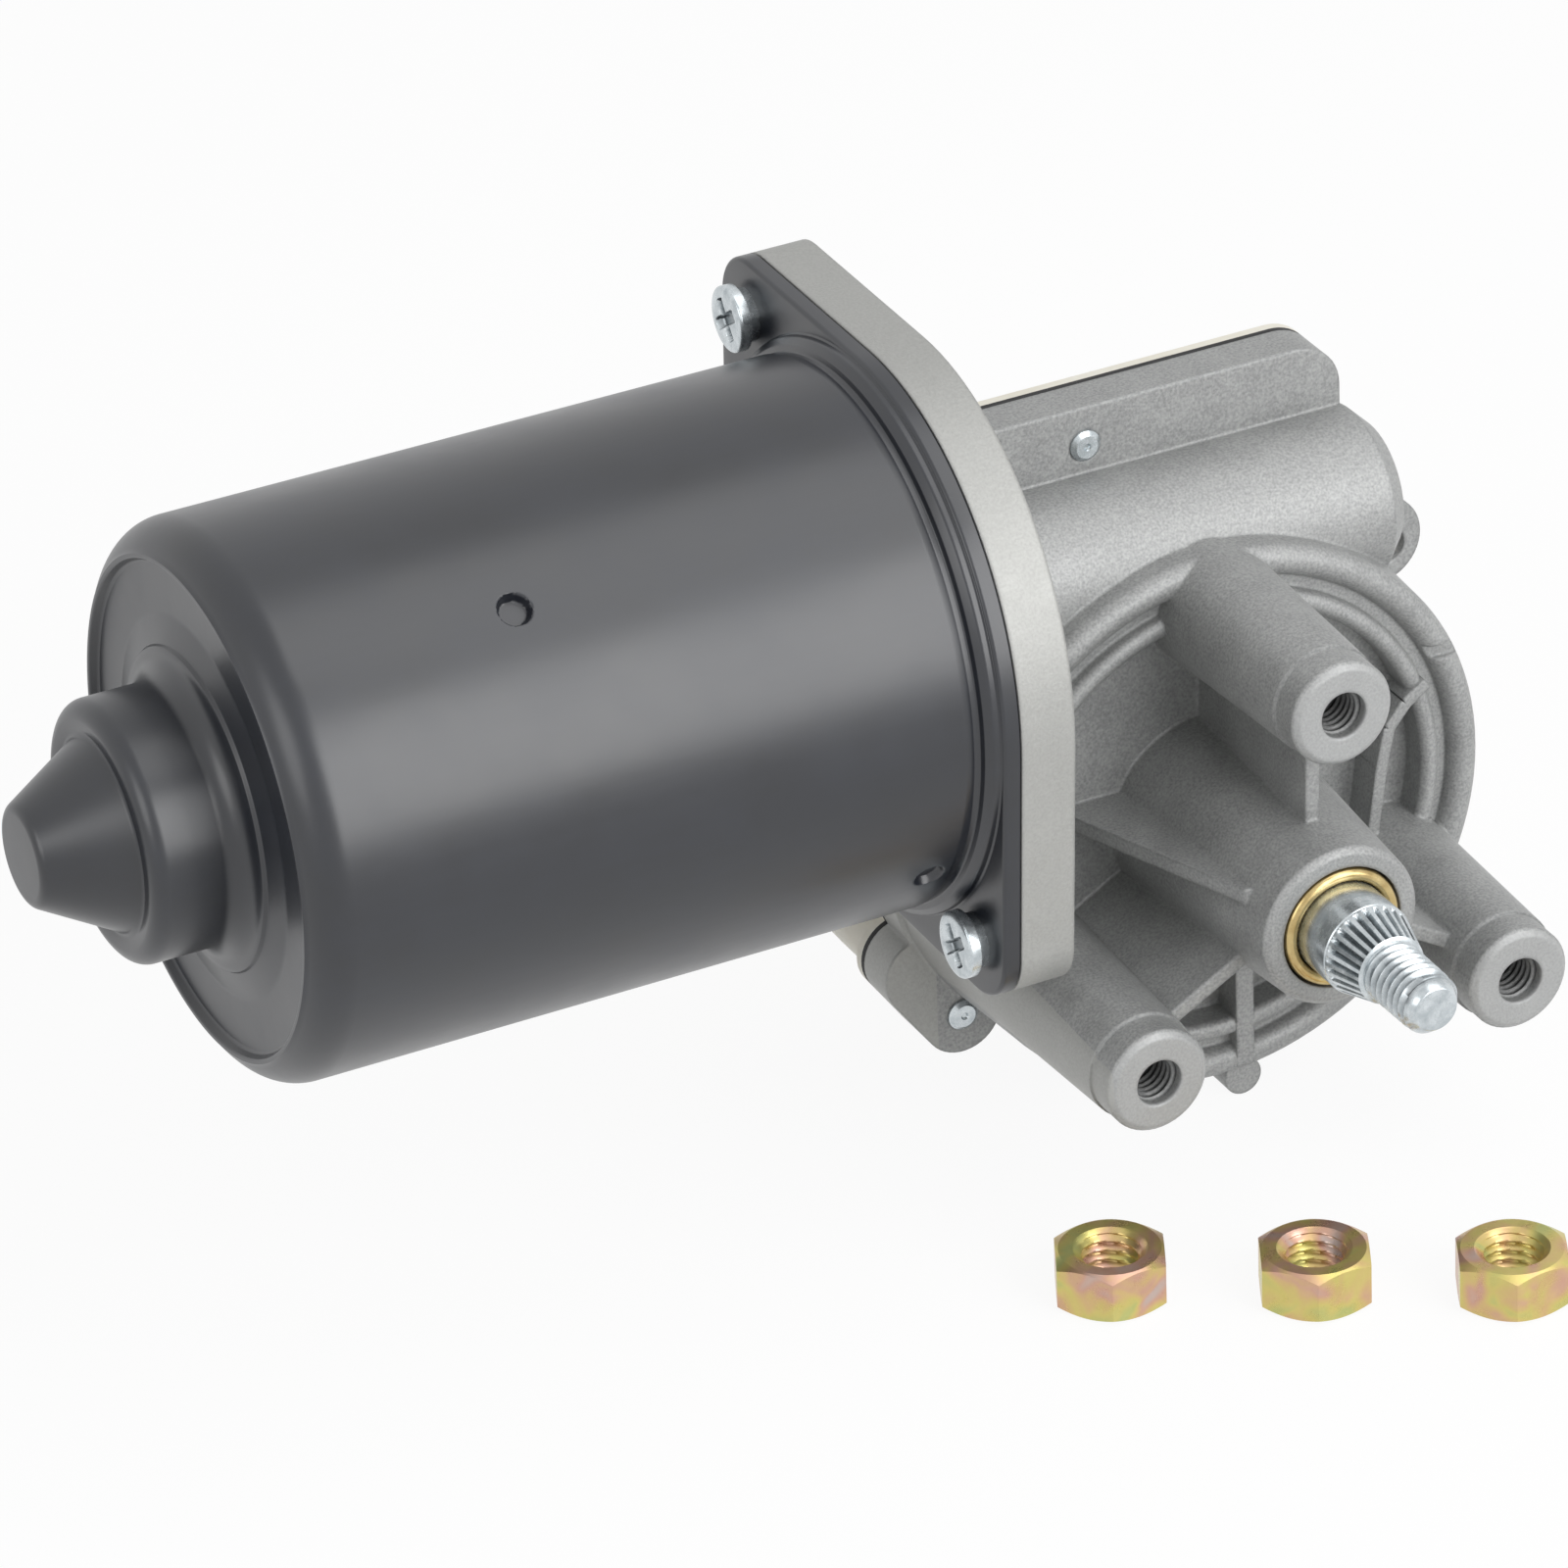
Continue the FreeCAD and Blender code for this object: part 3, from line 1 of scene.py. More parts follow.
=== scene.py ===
"""Looks of a wiper motor: finishes, turned and threaded pieces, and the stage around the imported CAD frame."""
import json
import logging
import math
from dataclasses import dataclass
from enum import Enum
from typing import Callable, Sequence

import bmesh
import bpy
import numpy as np
from mathutils import Matrix, Vector


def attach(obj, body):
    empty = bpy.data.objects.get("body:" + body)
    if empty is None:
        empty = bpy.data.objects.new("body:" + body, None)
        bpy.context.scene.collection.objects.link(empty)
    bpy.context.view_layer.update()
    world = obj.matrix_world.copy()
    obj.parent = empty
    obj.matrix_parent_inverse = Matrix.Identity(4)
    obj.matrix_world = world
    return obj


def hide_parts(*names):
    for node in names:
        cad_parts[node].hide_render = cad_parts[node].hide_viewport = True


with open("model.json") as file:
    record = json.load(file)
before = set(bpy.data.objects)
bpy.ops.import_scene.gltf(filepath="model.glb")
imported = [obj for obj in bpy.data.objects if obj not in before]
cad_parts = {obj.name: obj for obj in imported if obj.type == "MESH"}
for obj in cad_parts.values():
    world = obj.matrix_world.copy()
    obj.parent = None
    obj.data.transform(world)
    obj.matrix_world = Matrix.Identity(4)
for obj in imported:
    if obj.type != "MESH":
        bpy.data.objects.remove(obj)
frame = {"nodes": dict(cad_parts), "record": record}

LOG = logging.getLogger("wiper_motor")
MM = 0.001
THREAD_SLOPE, THREAD_FLAT = 2.6, 0.15
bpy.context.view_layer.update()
Array, Piece, Tree, Socket = np.ndarray, bpy.types.Object, bpy.types.NodeTree, bpy.types.NodeSocket
Spot = tuple[float, float, float]


def linear(code: str) -> tuple[float, float, float, float]:
    """Linear red, green and blue, and an alpha of 1, from six sRGB hex digits."""
    parts = [int(code[i:i + 2], 16) / 255 for i in (0, 2, 4)]
    return tuple(c / 12.92 if c <= 0.04045 else ((c + 0.055) / 1.055) ** 2.4 for c in parts) + (1.0,)


def add_node(tree: Tree, kind: str, sockets: dict | None = None, **settings) -> bpy.types.Node:
    """Add a shader node, set its properties, and fill or link its inputs.

    Args:
        tree: the node tree that takes the node.
        kind: Blender's node type name.
        sockets: input name or index to a value or to the output socket that feeds it.
        settings: properties of the node itself.

    Returns:
        The new node.
    """
    made = tree.nodes.new(kind)
    for name, value in settings.items():
        setattr(made, name, value)
    for name, value in (sockets or {}).items():
        if isinstance(value, Socket):
            tree.links.new(value, made.inputs[name])
        else:
            made.inputs[name].default_value = value
    return made


def maths(tree: Tree, operation: str, *values: Socket | float) -> Socket:
    """Add a Math node over one to three values and give its result."""
    return add_node(tree, "ShaderNodeMath", dict(enumerate(values)), operation=operation).outputs[0]


def blend(tree: Tree, factor: Socket | float, first: Socket, second: Socket | tuple) -> Socket:
    """Mix two colours: the first where the factor is 0, the second where it is 1."""
    return add_node(tree, "ShaderNodeMix", {"Factor": factor, 6: first, 7: second}, data_type="RGBA").outputs[2]


def noise(tree: Tree, place: Socket, size_mm: float, detail: float, **sockets: float) -> Socket:
    """Noise pattern, 0 to 1, whose patches have a real size; detail is its number of octaves."""
    inputs = {"Vector": place, "Scale": 1 / (size_mm * MM), "Detail": detail, **sockets}
    return add_node(tree, "ShaderNodeTexNoise", inputs).outputs["Fac"]


def painted_shade_mask(tree: Tree) -> Socket:
    """Share of painted shade in grooves and recesses, from the piece's sunk attribute; 0 where a piece has none."""
    return add_node(tree, "ShaderNodeAttribute", attribute_name="sunk").outputs["Fac"]


def seen_by(tree: Tree, *rays: str) -> Socket:
    """1 for rays of any named kind, 0 for the rest.

    Args:
        tree: the node tree.
        rays: outputs of the Light Path node.

    Returns:
        The switch's socket.
    """
    path = add_node(tree, "ShaderNodeLightPath")
    seen = path.outputs[rays[0]]
    for ray in rays[1:]:
        seen = maths(tree, "MAXIMUM", seen, path.outputs[ray])
    return seen


def ramp(tree: Tree, factor: Socket, stops: Sequence[tuple[float, str]]) -> Socket:
    """Colour ramp through hex colours.

    Args:
        tree: the node tree.
        factor: socket that picks the place on the ramp.
        stops: position and hex colour of each stop.

    Returns:
        The ramp's colour socket.
    """
    made = add_node(tree, "ShaderNodeValToRGB", {"Fac": factor})
    elements = made.color_ramp.elements
    while len(elements) < len(stops):
        elements.new(0.5)
    for element, (position, code) in zip(elements, stops):
        element.position = position
        element.color = linear(code)
    return made.outputs["Color"]


class Grain(Enum):
    """How a surface was made, which sets the pattern that its bump follows."""

    CAST = "cast"
    TURNED = "turned"
    ROLLED = "rolled"
    MOULDED = "moulded"
    STACKED = "stacked"
    WOUND = "wound"


@dataclass(frozen=True)
class Finish:
    """One real material and how its surface was made.

    The colour wanders between the pale and deep hex values over patches of patch_mm, and the bump
    follows a grain of grain_mm: noise for cast, rolled and moulded skins, rings for turned ones,
    sheet edges for stacked steel and wires for windings. The fleck share of the colour follows that grain.
    """

    name: str
    pale: str
    deep: str
    metallic: float
    rough_low: float
    rough_high: float
    grain: Grain
    grain_mm: float
    depth_mm: float
    patch_mm: float
    fleck: float = 0.2
    ior: float = 1.5

    def build(self) -> bpy.types.Material:
        """Make the node material.

        Returns:
            The finished material.
        """
        material = bpy.data.materials.new(self.name)
        material.use_nodes = True
        tree = material.node_tree
        tree.nodes.clear()
        place = add_node(tree, "ShaderNodeTexCoord").outputs["Object"]
        patches = noise(tree, place, self.patch_mm, 5.0, Roughness=0.6)
        fine = self.pattern(tree, place)
        mixed = maths(tree, "MULTIPLY", patches, 1 - self.fleck)
        mixed = maths(tree, "MULTIPLY_ADD", fine, self.fleck, mixed)
        colour = ramp(tree, mixed, [(0.32, self.deep), (0.68, self.pale)])
        colour = self.tint(tree, place, colour)
        rough = add_node(tree, "ShaderNodeMapRange", {
            "Value": patches, "From Min": 0.3, "From Max": 0.7, "To Min": self.rough_low,
            "To Max": self.rough_high}).outputs[0]
        bump = add_node(tree, "ShaderNodeBump", {"Height": fine, "Distance": self.depth_mm * MM, "Strength": 1.0})
        rounded = self.normal(tree)
        if rounded is not None:
            tree.links.new(rounded, bump.inputs["Normal"])
        shader = add_node(tree, "ShaderNodeBsdfPrincipled", {
            "Base Color": colour, "Roughness": rough, "Metallic": self.metallic, "IOR": self.ior,
            "Normal": bump.outputs[0]})
        add_node(tree, "ShaderNodeOutputMaterial", {"Surface": shader.outputs[0]})
        return material

    def pattern(self, tree: Tree, place: Socket) -> Socket:
        """Fine height pattern of the grain, 0 to 1.

        Args:
            tree: the node tree.
            place: object coordinates.

        Returns:
            The height socket.
        """
        if self.grain in (Grain.CAST, Grain.MOULDED):
            return noise(tree, place, self.grain_mm, 3.0)
        if self.grain is Grain.ROLLED:
            stretched = add_node(tree, "ShaderNodeMapping", {"Vector": place, "Scale": (0.08, 1.0, 1.0)}).outputs[0]
            return noise(tree, stretched, self.grain_mm, 4.0)
        if self.grain is Grain.TURNED:
            squeezed = add_node(tree, "ShaderNodeMapping", {"Vector": place, "Scale": (1.0, 9.0, 1.0)}).outputs[0]
            return noise(tree, squeezed, self.grain_mm * 5, 4.0)
        # The texture's sine runs 20 radians per unit, so its bands repeat every 2 * pi * grain_mm
        along, scale = "X" if self.grain is Grain.STACKED else "Z", 1 / (20 * self.grain_mm * MM)
        return add_node(tree, "ShaderNodeTexWave", {"Vector": place, "Scale": scale, "Distortion": 0.4},
                        wave_type="BANDS", bands_direction=along).outputs["Fac"]

    def tint(self, tree: Tree, place: Socket, colour: Socket) -> Socket:
        """Extra colour that depends on the place; none for a plain finish."""
        return colour

    def normal(self, tree: Tree) -> Socket | None:
        """Normals under the bump; None keeps the mesh's own."""
        return None


@dataclass(frozen=True)
class Passivated(Finish):
    """Yellow-passivated zinc, whose thin film drifts between straw, pink and green over a few millimetres."""

    film_mm: float = 5.0
    film_share: float = 0.75
    film: tuple[tuple[float, str], ...] = (
        (0.30, "B4BC78"), (0.42, "CFC073"), (0.53, "D2AE80"), (0.63, "CC9792"), (0.76, "BFA9B2"))

    def tint(self, tree: Tree, place: Socket, colour: Socket) -> Socket:
        """Mix the film's interference colours over the base."""
        drift = noise(tree, place, self.film_mm, 1.5, Distortion=0.6)
        return blend(tree, self.film_share, colour, ramp(tree, drift, self.film))


@dataclass(frozen=True)
class Plated(Finish):
    """Plating with painted shade in the roots of threads, knurls and recesses, where the sunk attribute rises to 1.
    """

    # Colour of the painted shade in the roots, and how much of it is mixed in
    root: str = "2B3034"
    root_shade_share: float = 0.6

    def tint(self, tree: Tree, place: Socket, colour: Socket) -> Socket:
        """Paint shade into the colour by the piece's sunk attribute."""
        return blend(tree, maths(tree, "MULTIPLY", painted_shade_mask(tree), self.root_shade_share), colour, linear(self.root))


@dataclass(frozen=True)
class CastSkin(Finish):
    """Die-cast aluminium whose trimmed faces are paler and whose thread roots carry painted shade."""

    cut: str = "ACACA8"
    turned: str = "B4B5B5"
    # Colour of the painted shade in thread roots
    root: str = "1E1E1F"
    edge_share: float = 0.6
    boss_share: float = 0.4
    edge_to_mm: float = -31.0
    boss_mm: float = 0.5
    hub_mm: float = 20.0
    soft_mm: float = 0.7

    def tint(self, tree: Tree, place: Socket, colour: Socket) -> Socket:
        """Paint shade into thread roots, and lighten the flange edge, left of edge_to_mm, and the boss ends.

        A boss end is what lies in front of boss_mm and further than hub_mm from the output shaft's axis.

        Args:
            tree: the node tree.
            place: object coordinates.
            colour: the cast skin's colour.

        Returns:
            The mixed colour socket.
        """
        spot = add_node(tree, "ShaderNodeSeparateXYZ", {"Vector": place})
        flat = add_node(tree, "ShaderNodeMapping", {"Vector": place, "Scale": (1.0, 0.0, 1.0)}).outputs[0]
        away = add_node(tree, "ShaderNodeVectorMath", {0: flat}, operation="LENGTH").outputs["Value"]
        edge = maths(tree, "LESS_THAN", spot.outputs["X"], self.edge_to_mm * MM)
        front = maths(tree, "LESS_THAN", spot.outputs["Y"], self.boss_mm * MM)
        outer = maths(tree, "GREATER_THAN", away, self.hub_mm * MM)
        boss = maths(tree, "MULTIPLY", maths(tree, "MULTIPLY", front, outer), self.boss_share)
        # Painted shade in thread roots, by the sunk attribute
        root_shaded = blend(tree, painted_shade_mask(tree), colour, linear(self.root))
        trimmed = blend(tree, boss, root_shaded, linear(self.turned))
        return blend(tree, maths(tree, "MULTIPLY", edge, self.edge_share), trimmed, linear(self.cut))

    def normal(self, tree: Tree) -> Socket | None:
        """Normals rounded over soft_mm at every edge and corner, as a casting's are."""
        return add_node(tree, "ShaderNodeBevel", {"Radius": self.soft_mm * MM}, samples=6).outputs[0]


# Stoved black enamel on deep-drawn steel: near-black, half gloss, with faint draw lines along the can
BLACK_ENAMEL = Finish("black_stoved_enamel", "181C25", "11141B", 0.0, 0.29, 0.36, Grain.ROLLED, 0.9, 0.004, 14.0,
                      ior=1.7)
# Die-cast aluminium, tumbled: mid grey with a fine sandy grain and cloudy tone
CAST_ALUMINIUM = CastSkin("die_cast_aluminium", "ABACAB", "878888", 0.42, 0.46, 0.58, Grain.CAST, 0.34, 0.040, 5.0,
                          fleck=0.72)
# Bright zinc plate: bluish white with a silky turned surface
ZINC_PLATE = Plated("bright_zinc_plate", "D9DFE2", "ACB4B8", 0.9, 0.20, 0.32, Grain.TURNED, 0.5, 0.008, 1.6)
# Yellow-passivated zinc on the loose nuts
YELLOW_ZINC = Passivated("yellow_passivated_zinc", "D6C982", "B5A65C", 0.75, 0.24, 0.36, Grain.CAST, 0.5, 0.010, 3.0)
# Moulded cover in pale cream plastic with a light spark-eroded texture
CREAM_MOULDING = Finish("cream_moulded_cover", "F1EEE3", "E7E2D3", 0.0, 0.42, 0.52, Grain.MOULDED, 0.6, 0.02, 9.0)
# Sintered bronze bushes: warm, oil-darkened
SINTERED_BRONZE = Finish("sintered_bronze", "D2BE8A", "AB925F", 0.9, 0.18, 0.28, Grain.TURNED, 0.5, 0.006, 2.0)
# Ferrite magnet: dark grey ceramic
FERRITE = Finish("sintered_ferrite", "46464A", "333337", 0.0, 0.55, 0.70, Grain.CAST, 0.4, 0.02, 6.0)
# Blued spring steel strip
SPRING_STEEL = Finish("blued_spring_steel", "7A7F88", "5C616A", 0.9, 0.28, 0.40, Grain.ROLLED, 0.5, 0.005, 5.0)
# Ground shaft steel
GROUND_STEEL = Finish("ground_shaft_steel", "BFC1C4", "A4A7AB", 1.0, 0.18, 0.28, Grain.TURNED, 0.4, 0.005, 4.0)
# Stacked electrical steel seen edge-on, in bands far coarser than its 0.5 mm sheets
STACKED_STEEL = Finish("stacked_electrical_steel", "84878B", "5B5E63", 0.8, 0.38, 0.50, Grain.STACKED, 1.0, 0.05,
                       6.0)
# Enamelled copper wire, in ridges coarser than the wire
COPPER_WIRE = Finish("enamelled_copper_wire", "C4713C", "8E4522", 0.7, 0.28, 0.38, Grain.WOUND, 0.9, 0.15, 6.0)
# Brown phenolic paper board and moulding
PHENOLIC = Finish("phenolic_board", "6B4226", "4E2E1A", 0.0, 0.40, 0.52, Grain.MOULDED, 1.4, 0.01, 7.0)
# Copper-graphite brush blocks
CARBON = Finish("copper_graphite", "3A3634", "282524", 0.2, 0.50, 0.62, Grain.CAST, 0.3, 0.02, 2.0)
# Natural acetal gear
ACETAL = Finish("natural_acetal", "ECE8DA", "DDD7C4", 0.0, 0.30, 0.38, Grain.MOULDED, 1.2, 0.006, 9.0)
# Choke: ferrite rod under lacquered wire
CHOKE = Finish("lacquered_choke", "8B4A2B", "3E2A20", 0.3, 0.35, 0.45, Grain.WOUND, 0.8, 0.12, 4.0)
# Dipped film capacitor
DIPPED_FILM = Finish("dipped_film_capacitor", "B5622A", "9A4E1E", 0.0, 0.25, 0.35, Grain.MOULDED, 1.5, 0.02, 5.0)
# Pressed paper gasket, soaked black
GASKET = Finish("black_gasket", "1E1E1F", "141415", 0.0, 0.60, 0.75, Grain.CAST, 0.4, 0.02, 3.0)
# Nitrile lip seal
NITRILE = Finish("nitrile_rubber", "222222", "191919", 0.0, 0.50, 0.60, Grain.MOULDED, 0.7, 0.01, 3.0)
# Glass-filled nylon, black, with a matte moulded skin
BLACK_NYLON = Finish("black_glass_filled_nylon", "2A2A2C", "1F1F21", 0.0, 0.48, 0.60, Grain.MOULDED, 0.5, 0.015, 5.0)
# Phosphor-bronze contact strip
CONTACT_STRIP = Finish("phosphor_bronze_strip", "D9B27A", "B78B53", 0.95, 0.22, 0.32, Grain.ROLLED, 0.5, 0.004, 3.0)

SLOT_FINISH: dict[str, Finish] = {
    "black_paint": BLACK_ENAMEL, "cast_aluminium": CAST_ALUMINIUM, "zinc_plate": ZINC_PLATE,
    "yellow_zinc": YELLOW_ZINC, "cream_cover": CREAM_MOULDING, "bearing_bronze": SINTERED_BRONZE,
    "ferrite": FERRITE, "spring_steel": SPRING_STEEL, "ground_steel": GROUND_STEEL,
    "electrical_steel": STACKED_STEEL, "copper": COPPER_WIRE, "phenolic": PHENOLIC, "carbon": CARBON,
    "wheel_plastic": ACETAL, "ferrite_core": CHOKE, "capacitor_film": DIPPED_FILM,
    "gasket_black": GASKET, "seal_rubber": NITRILE, "black_plastic": BLACK_NYLON,
    "contact_bronze": CONTACT_STRIP,
}


class Finishes:
    """Every finish made once, by the record's slot names."""

    def __init__(self) -> None:
        """Build all materials."""
        self.by_slot = {slot: finish.build() for slot, finish in SLOT_FINISH.items()}

    def dress(self, piece: Piece, slot: str) -> None:
        """Give a piece the finish of one slot as its only material."""
        piece.data.materials.clear()
        piece.data.materials.append(self.by_slot[slot])


@dataclass(frozen=True)
class Axis:
    """A straight axis in the row frame, in mm: a point, the direction along it and the two across it."""

    origin: Spot
    along: Spot
    across: Spot

    def place(self, radius: Array, reach: Array, angle: Array) -> Array:
        """Points at a radius from the axis, a distance along it and an angle about it.

        Point = origin + reach * along + radius * (cos(angle) * across + sin(angle) * (along x across)).

        Args:
            radius: distances from the axis.
            reach: distances along the axis.
            angle: angles in radians.

        Returns:
            Array of points with a last dimension of 3.
        """
        a, u = np.array(self.along, float), np.array(self.across, float)
        w = np.cross(a, u)
        radius, reach, angle = np.broadcast_arrays(radius, reach, angle)
        return (np.array(self.origin, float) + reach[..., None] * a
                + (radius * np.cos(angle))[..., None] * u + (radius * np.sin(angle))[..., None] * w)


SHAFT_AXIS = Axis((0, 0, 0), (0, 1, 0), (0, 0, 1))
ARMATURE_AXIS = Axis((0, 43.5, 31.75), (1, 0, 0), (0, 1, 0))


def surface(name: str, points: Array, wrap_u: bool = False, wrap_v: bool = False,
            sunk: Array | None = None) -> Piece:
    """Mesh through a grid of points, in mm, with doubles merged and faces turned outward.

    Args:
        name: the piece's name.
        points: array of (rows, columns, 3).
        wrap_u: close the rows into a ring.
        wrap_v: close the columns into a ring.
        sunk: how far each point lies in a groove, 0 to 1, kept as an attribute that sets the painted shade of
            finishes that read it.

    Returns:
        The new object, at the world origin.
    """
    rows, cols = points.shape[:2]
    index = np.arange(rows * cols).reshape(rows, cols)
    index = np.vstack([index, index[:1]]) if wrap_u else index
    index = np.hstack([index, index[:, :1]]) if wrap_v else index
    quads = np.stack([index[:-1, :-1], index[1:, :-1], index[1:, 1:], index[:-1, 1:]], -1).reshape(-1, 4)
    mesh = bpy.data.meshes.new(name)
    mesh.vertices.add(rows * cols)
    mesh.vertices.foreach_set("co", (points * MM).astype(np.float32).ravel())
    mesh.loops.add(quads.size)
    mesh.loops.foreach_set("vertex_index", quads.astype(np.int32).ravel())
    mesh.polygons.add(len(quads))
    mesh.polygons.foreach_set("loop_start", np.arange(0, quads.size, 4, dtype=np.int32))
    mesh.update(calc_edges=True)
    depth = np.zeros((rows, cols)) if sunk is None else np.clip(sunk, 0, 1)
    mesh.attributes.new("sunk", "FLOAT", "POINT").data.foreach_set("value", depth.astype(np.float32).ravel())
    shell = bmesh.new()
    shell.from_mesh(mesh)
    bmesh.ops.remove_doubles(shell, verts=shell.verts, dist=1e-7)
    bmesh.ops.recalc_face_normals(shell, faces=shell.faces)
    shell.to_mesh(mesh)
    shell.free()
    mesh.polygons.foreach_set("use_smooth", np.ones(len(mesh.polygons), bool))
    piece = bpy.data.objects.new(name, mesh)
    bpy.context.scene.collection.objects.link(piece)
    return piece


def sharpen(piece: Piece, degrees: float) -> Piece:
    """Split the piece's normals at edges sharper than the given angle."""
    piece.data.set_sharp_from_angle(angle=math.radians(degrees))
    return piece


def softened(corners: Sequence[Spot], steps: int) -> Array:
    """Open profile through corners, each rounded by its own radius.

    A corner of radius r becomes a circular arc that is tangent to both runs, sampled in equal steps.

    Args:
        corners: (radius from the axis, distance along it, rounding) of each corner.
        steps: samples in each arc.

    Returns:
        Array of (radius, distance) points.
    """
    spots = np.array([c[:2] for c in corners], float)
    made = [spots[:1]]
    for i in range(1, len(spots) - 1):
        before, here, after = spots[i - 1], spots[i], spots[i + 1]
        size = corners[i][2]
        first, second = before - here, after - here
        u, v = first / np.linalg.norm(first), second / np.linalg.norm(second)
        half = math.acos(float(np.clip(u @ v, -1, 1))) / 2
        if size <= 0 or half > math.pi / 2 - 1e-3:
            made.append(here[None])
            continue
        run = min(size / math.tan(half), 0.49 * np.linalg.norm(first), 0.49 * np.linalg.norm(second))
        radius = run * math.tan(half)
        middle = here + (u + v) / np.linalg.norm(u + v) * (radius / math.sin(half))
        start, end = here + u * run - middle, here + v * run - middle
        turn = math.pi - 2 * half
        t = np.linspace(0, 1, steps + 1)[:, None]
        made.append(middle + (np.sin((1 - t) * turn) * start + np.sin(t * turn) * end) / math.sin(turn))
    made.append(spots[-1:])
    return np.vstack(made)


def bow(centre: tuple[float, float], size: float, first: float, last: float, steps: int) -> Array:
    """Arc of a profile: radius = centre + size * cos(angle), distance = centre + size * sin(angle).

    Args:
        centre: (radius, distance) of the arc's middle.
        size: the arc's radius.
        first: start angle in degrees, from straight out towards the far end.
        last: end angle in degrees.
        steps: samples.

    Returns:
        Array of (radius, distance) points.
    """
    angle = np.radians(np.linspace(first, last, steps))
    return np.column_stack([centre[0] + size * np.cos(angle), centre[1] + size * np.sin(angle)])


def ring(steps: int) -> Array:
    """Even angles over one full turn, in radians."""
    return np.linspace(0, 2 * math.pi, steps, endpoint=False)


def thread_crest(level: Array | float, pitch: float, angle: Array) -> Array:
    """Height of a V thread: 0 in the root, 1 on the crest.

    Phase = level / pitch + angle / turn, within one pitch. The height is THREAD_SLOPE times the distance from
    the pitch's middle less THREAD_FLAT, cut off at both ends so that crests and roots are flat. The angle's
    sign sets the hand of the helix.

    Args:
        level: distance along the axis.
        pitch: distance from crest to crest.
        angle: angle about the axis.

    Returns:
        Heights from 0 to 1.
    """
    phase = (level / pitch + angle / (2 * math.pi)) % 1.0
    return np.clip(np.abs(phase - 0.5) * THREAD_SLOPE - THREAD_FLAT, 0, 1)


def turned(name: str, axis: Axis, profile: Array, around: int | Array,
           relief: Callable[[Array, Array, Array], Array] | None = None,
           closed: bool = False) -> Piece:
    """Body of revolution: radius(s) and reach(s) of the profile swept through the full angle.

    Args:
        name: the piece's name.
        axis: axis of revolution.
        profile: (radius, distance) points; it starts and ends on the axis unless closed.
        around: steps round the axis, or the angles themselves.
        relief: optional change of radius from (radius, reach, angle), nowhere positive; the deepest
            place counts as fully sunk.
        closed: join the last profile point to the first, for rings.

    Returns:
        The new object.
    """
    angle = (ring(around) if isinstance(around, int) else around)[None, :]
    radius, reach = profile[:, :1], profile[:, 1:]
    sunk = None
    if relief is not None:
        change = relief(*np.broadcast_arrays(radius, reach, angle))
        radius, sunk = radius + change, change / change.min()
    return surface(name, axis.place(radius, reach, angle), wrap_u=closed, wrap_v=True, sunk=sunk)


def joined(name: str, pieces: Sequence[Piece]) -> Piece:
    """Merge several meshes into one object of separate shells.

    Args:
        name: name of the result.
        pieces: objects at the world origin; they are used up.

    Returns:
        The merged object.
    """
    whole = bmesh.new()
    for piece in pieces:
        whole.from_mesh(piece.data)
    mesh = bpy.data.meshes.new(name)
    whole.to_mesh(mesh)
    whole.free()
    for piece in pieces:
        old = piece.data
        bpy.data.objects.remove(piece)
        bpy.data.meshes.remove(old)
    made = bpy.data.objects.new(name, mesh)
    bpy.context.scene.collection.objects.link(made)
    return made


@dataclass
class Assembly:
    """A sub-assembly: its sizes are fields, and its build method makes its pieces and settles them."""

    finishes: Finishes

    def settle(self, piece: Piece, body: str, slot: str, *nodes: str) -> None:
        """Dress a piece, let it ride on its body and stand for CAD nodes, with a line in the log.

        Args:
            piece: the piece.
            body: body that it rides on.
            slot: material slot of its finish.
            nodes: CAD nodes that it replaces.
        """
        self.finishes.dress(piece, slot)
        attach(piece, body)
        if nodes:
            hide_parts(*nodes)
        LOG.info("%s: %d faces on %s", piece.name, len(piece.data.polygons), body)


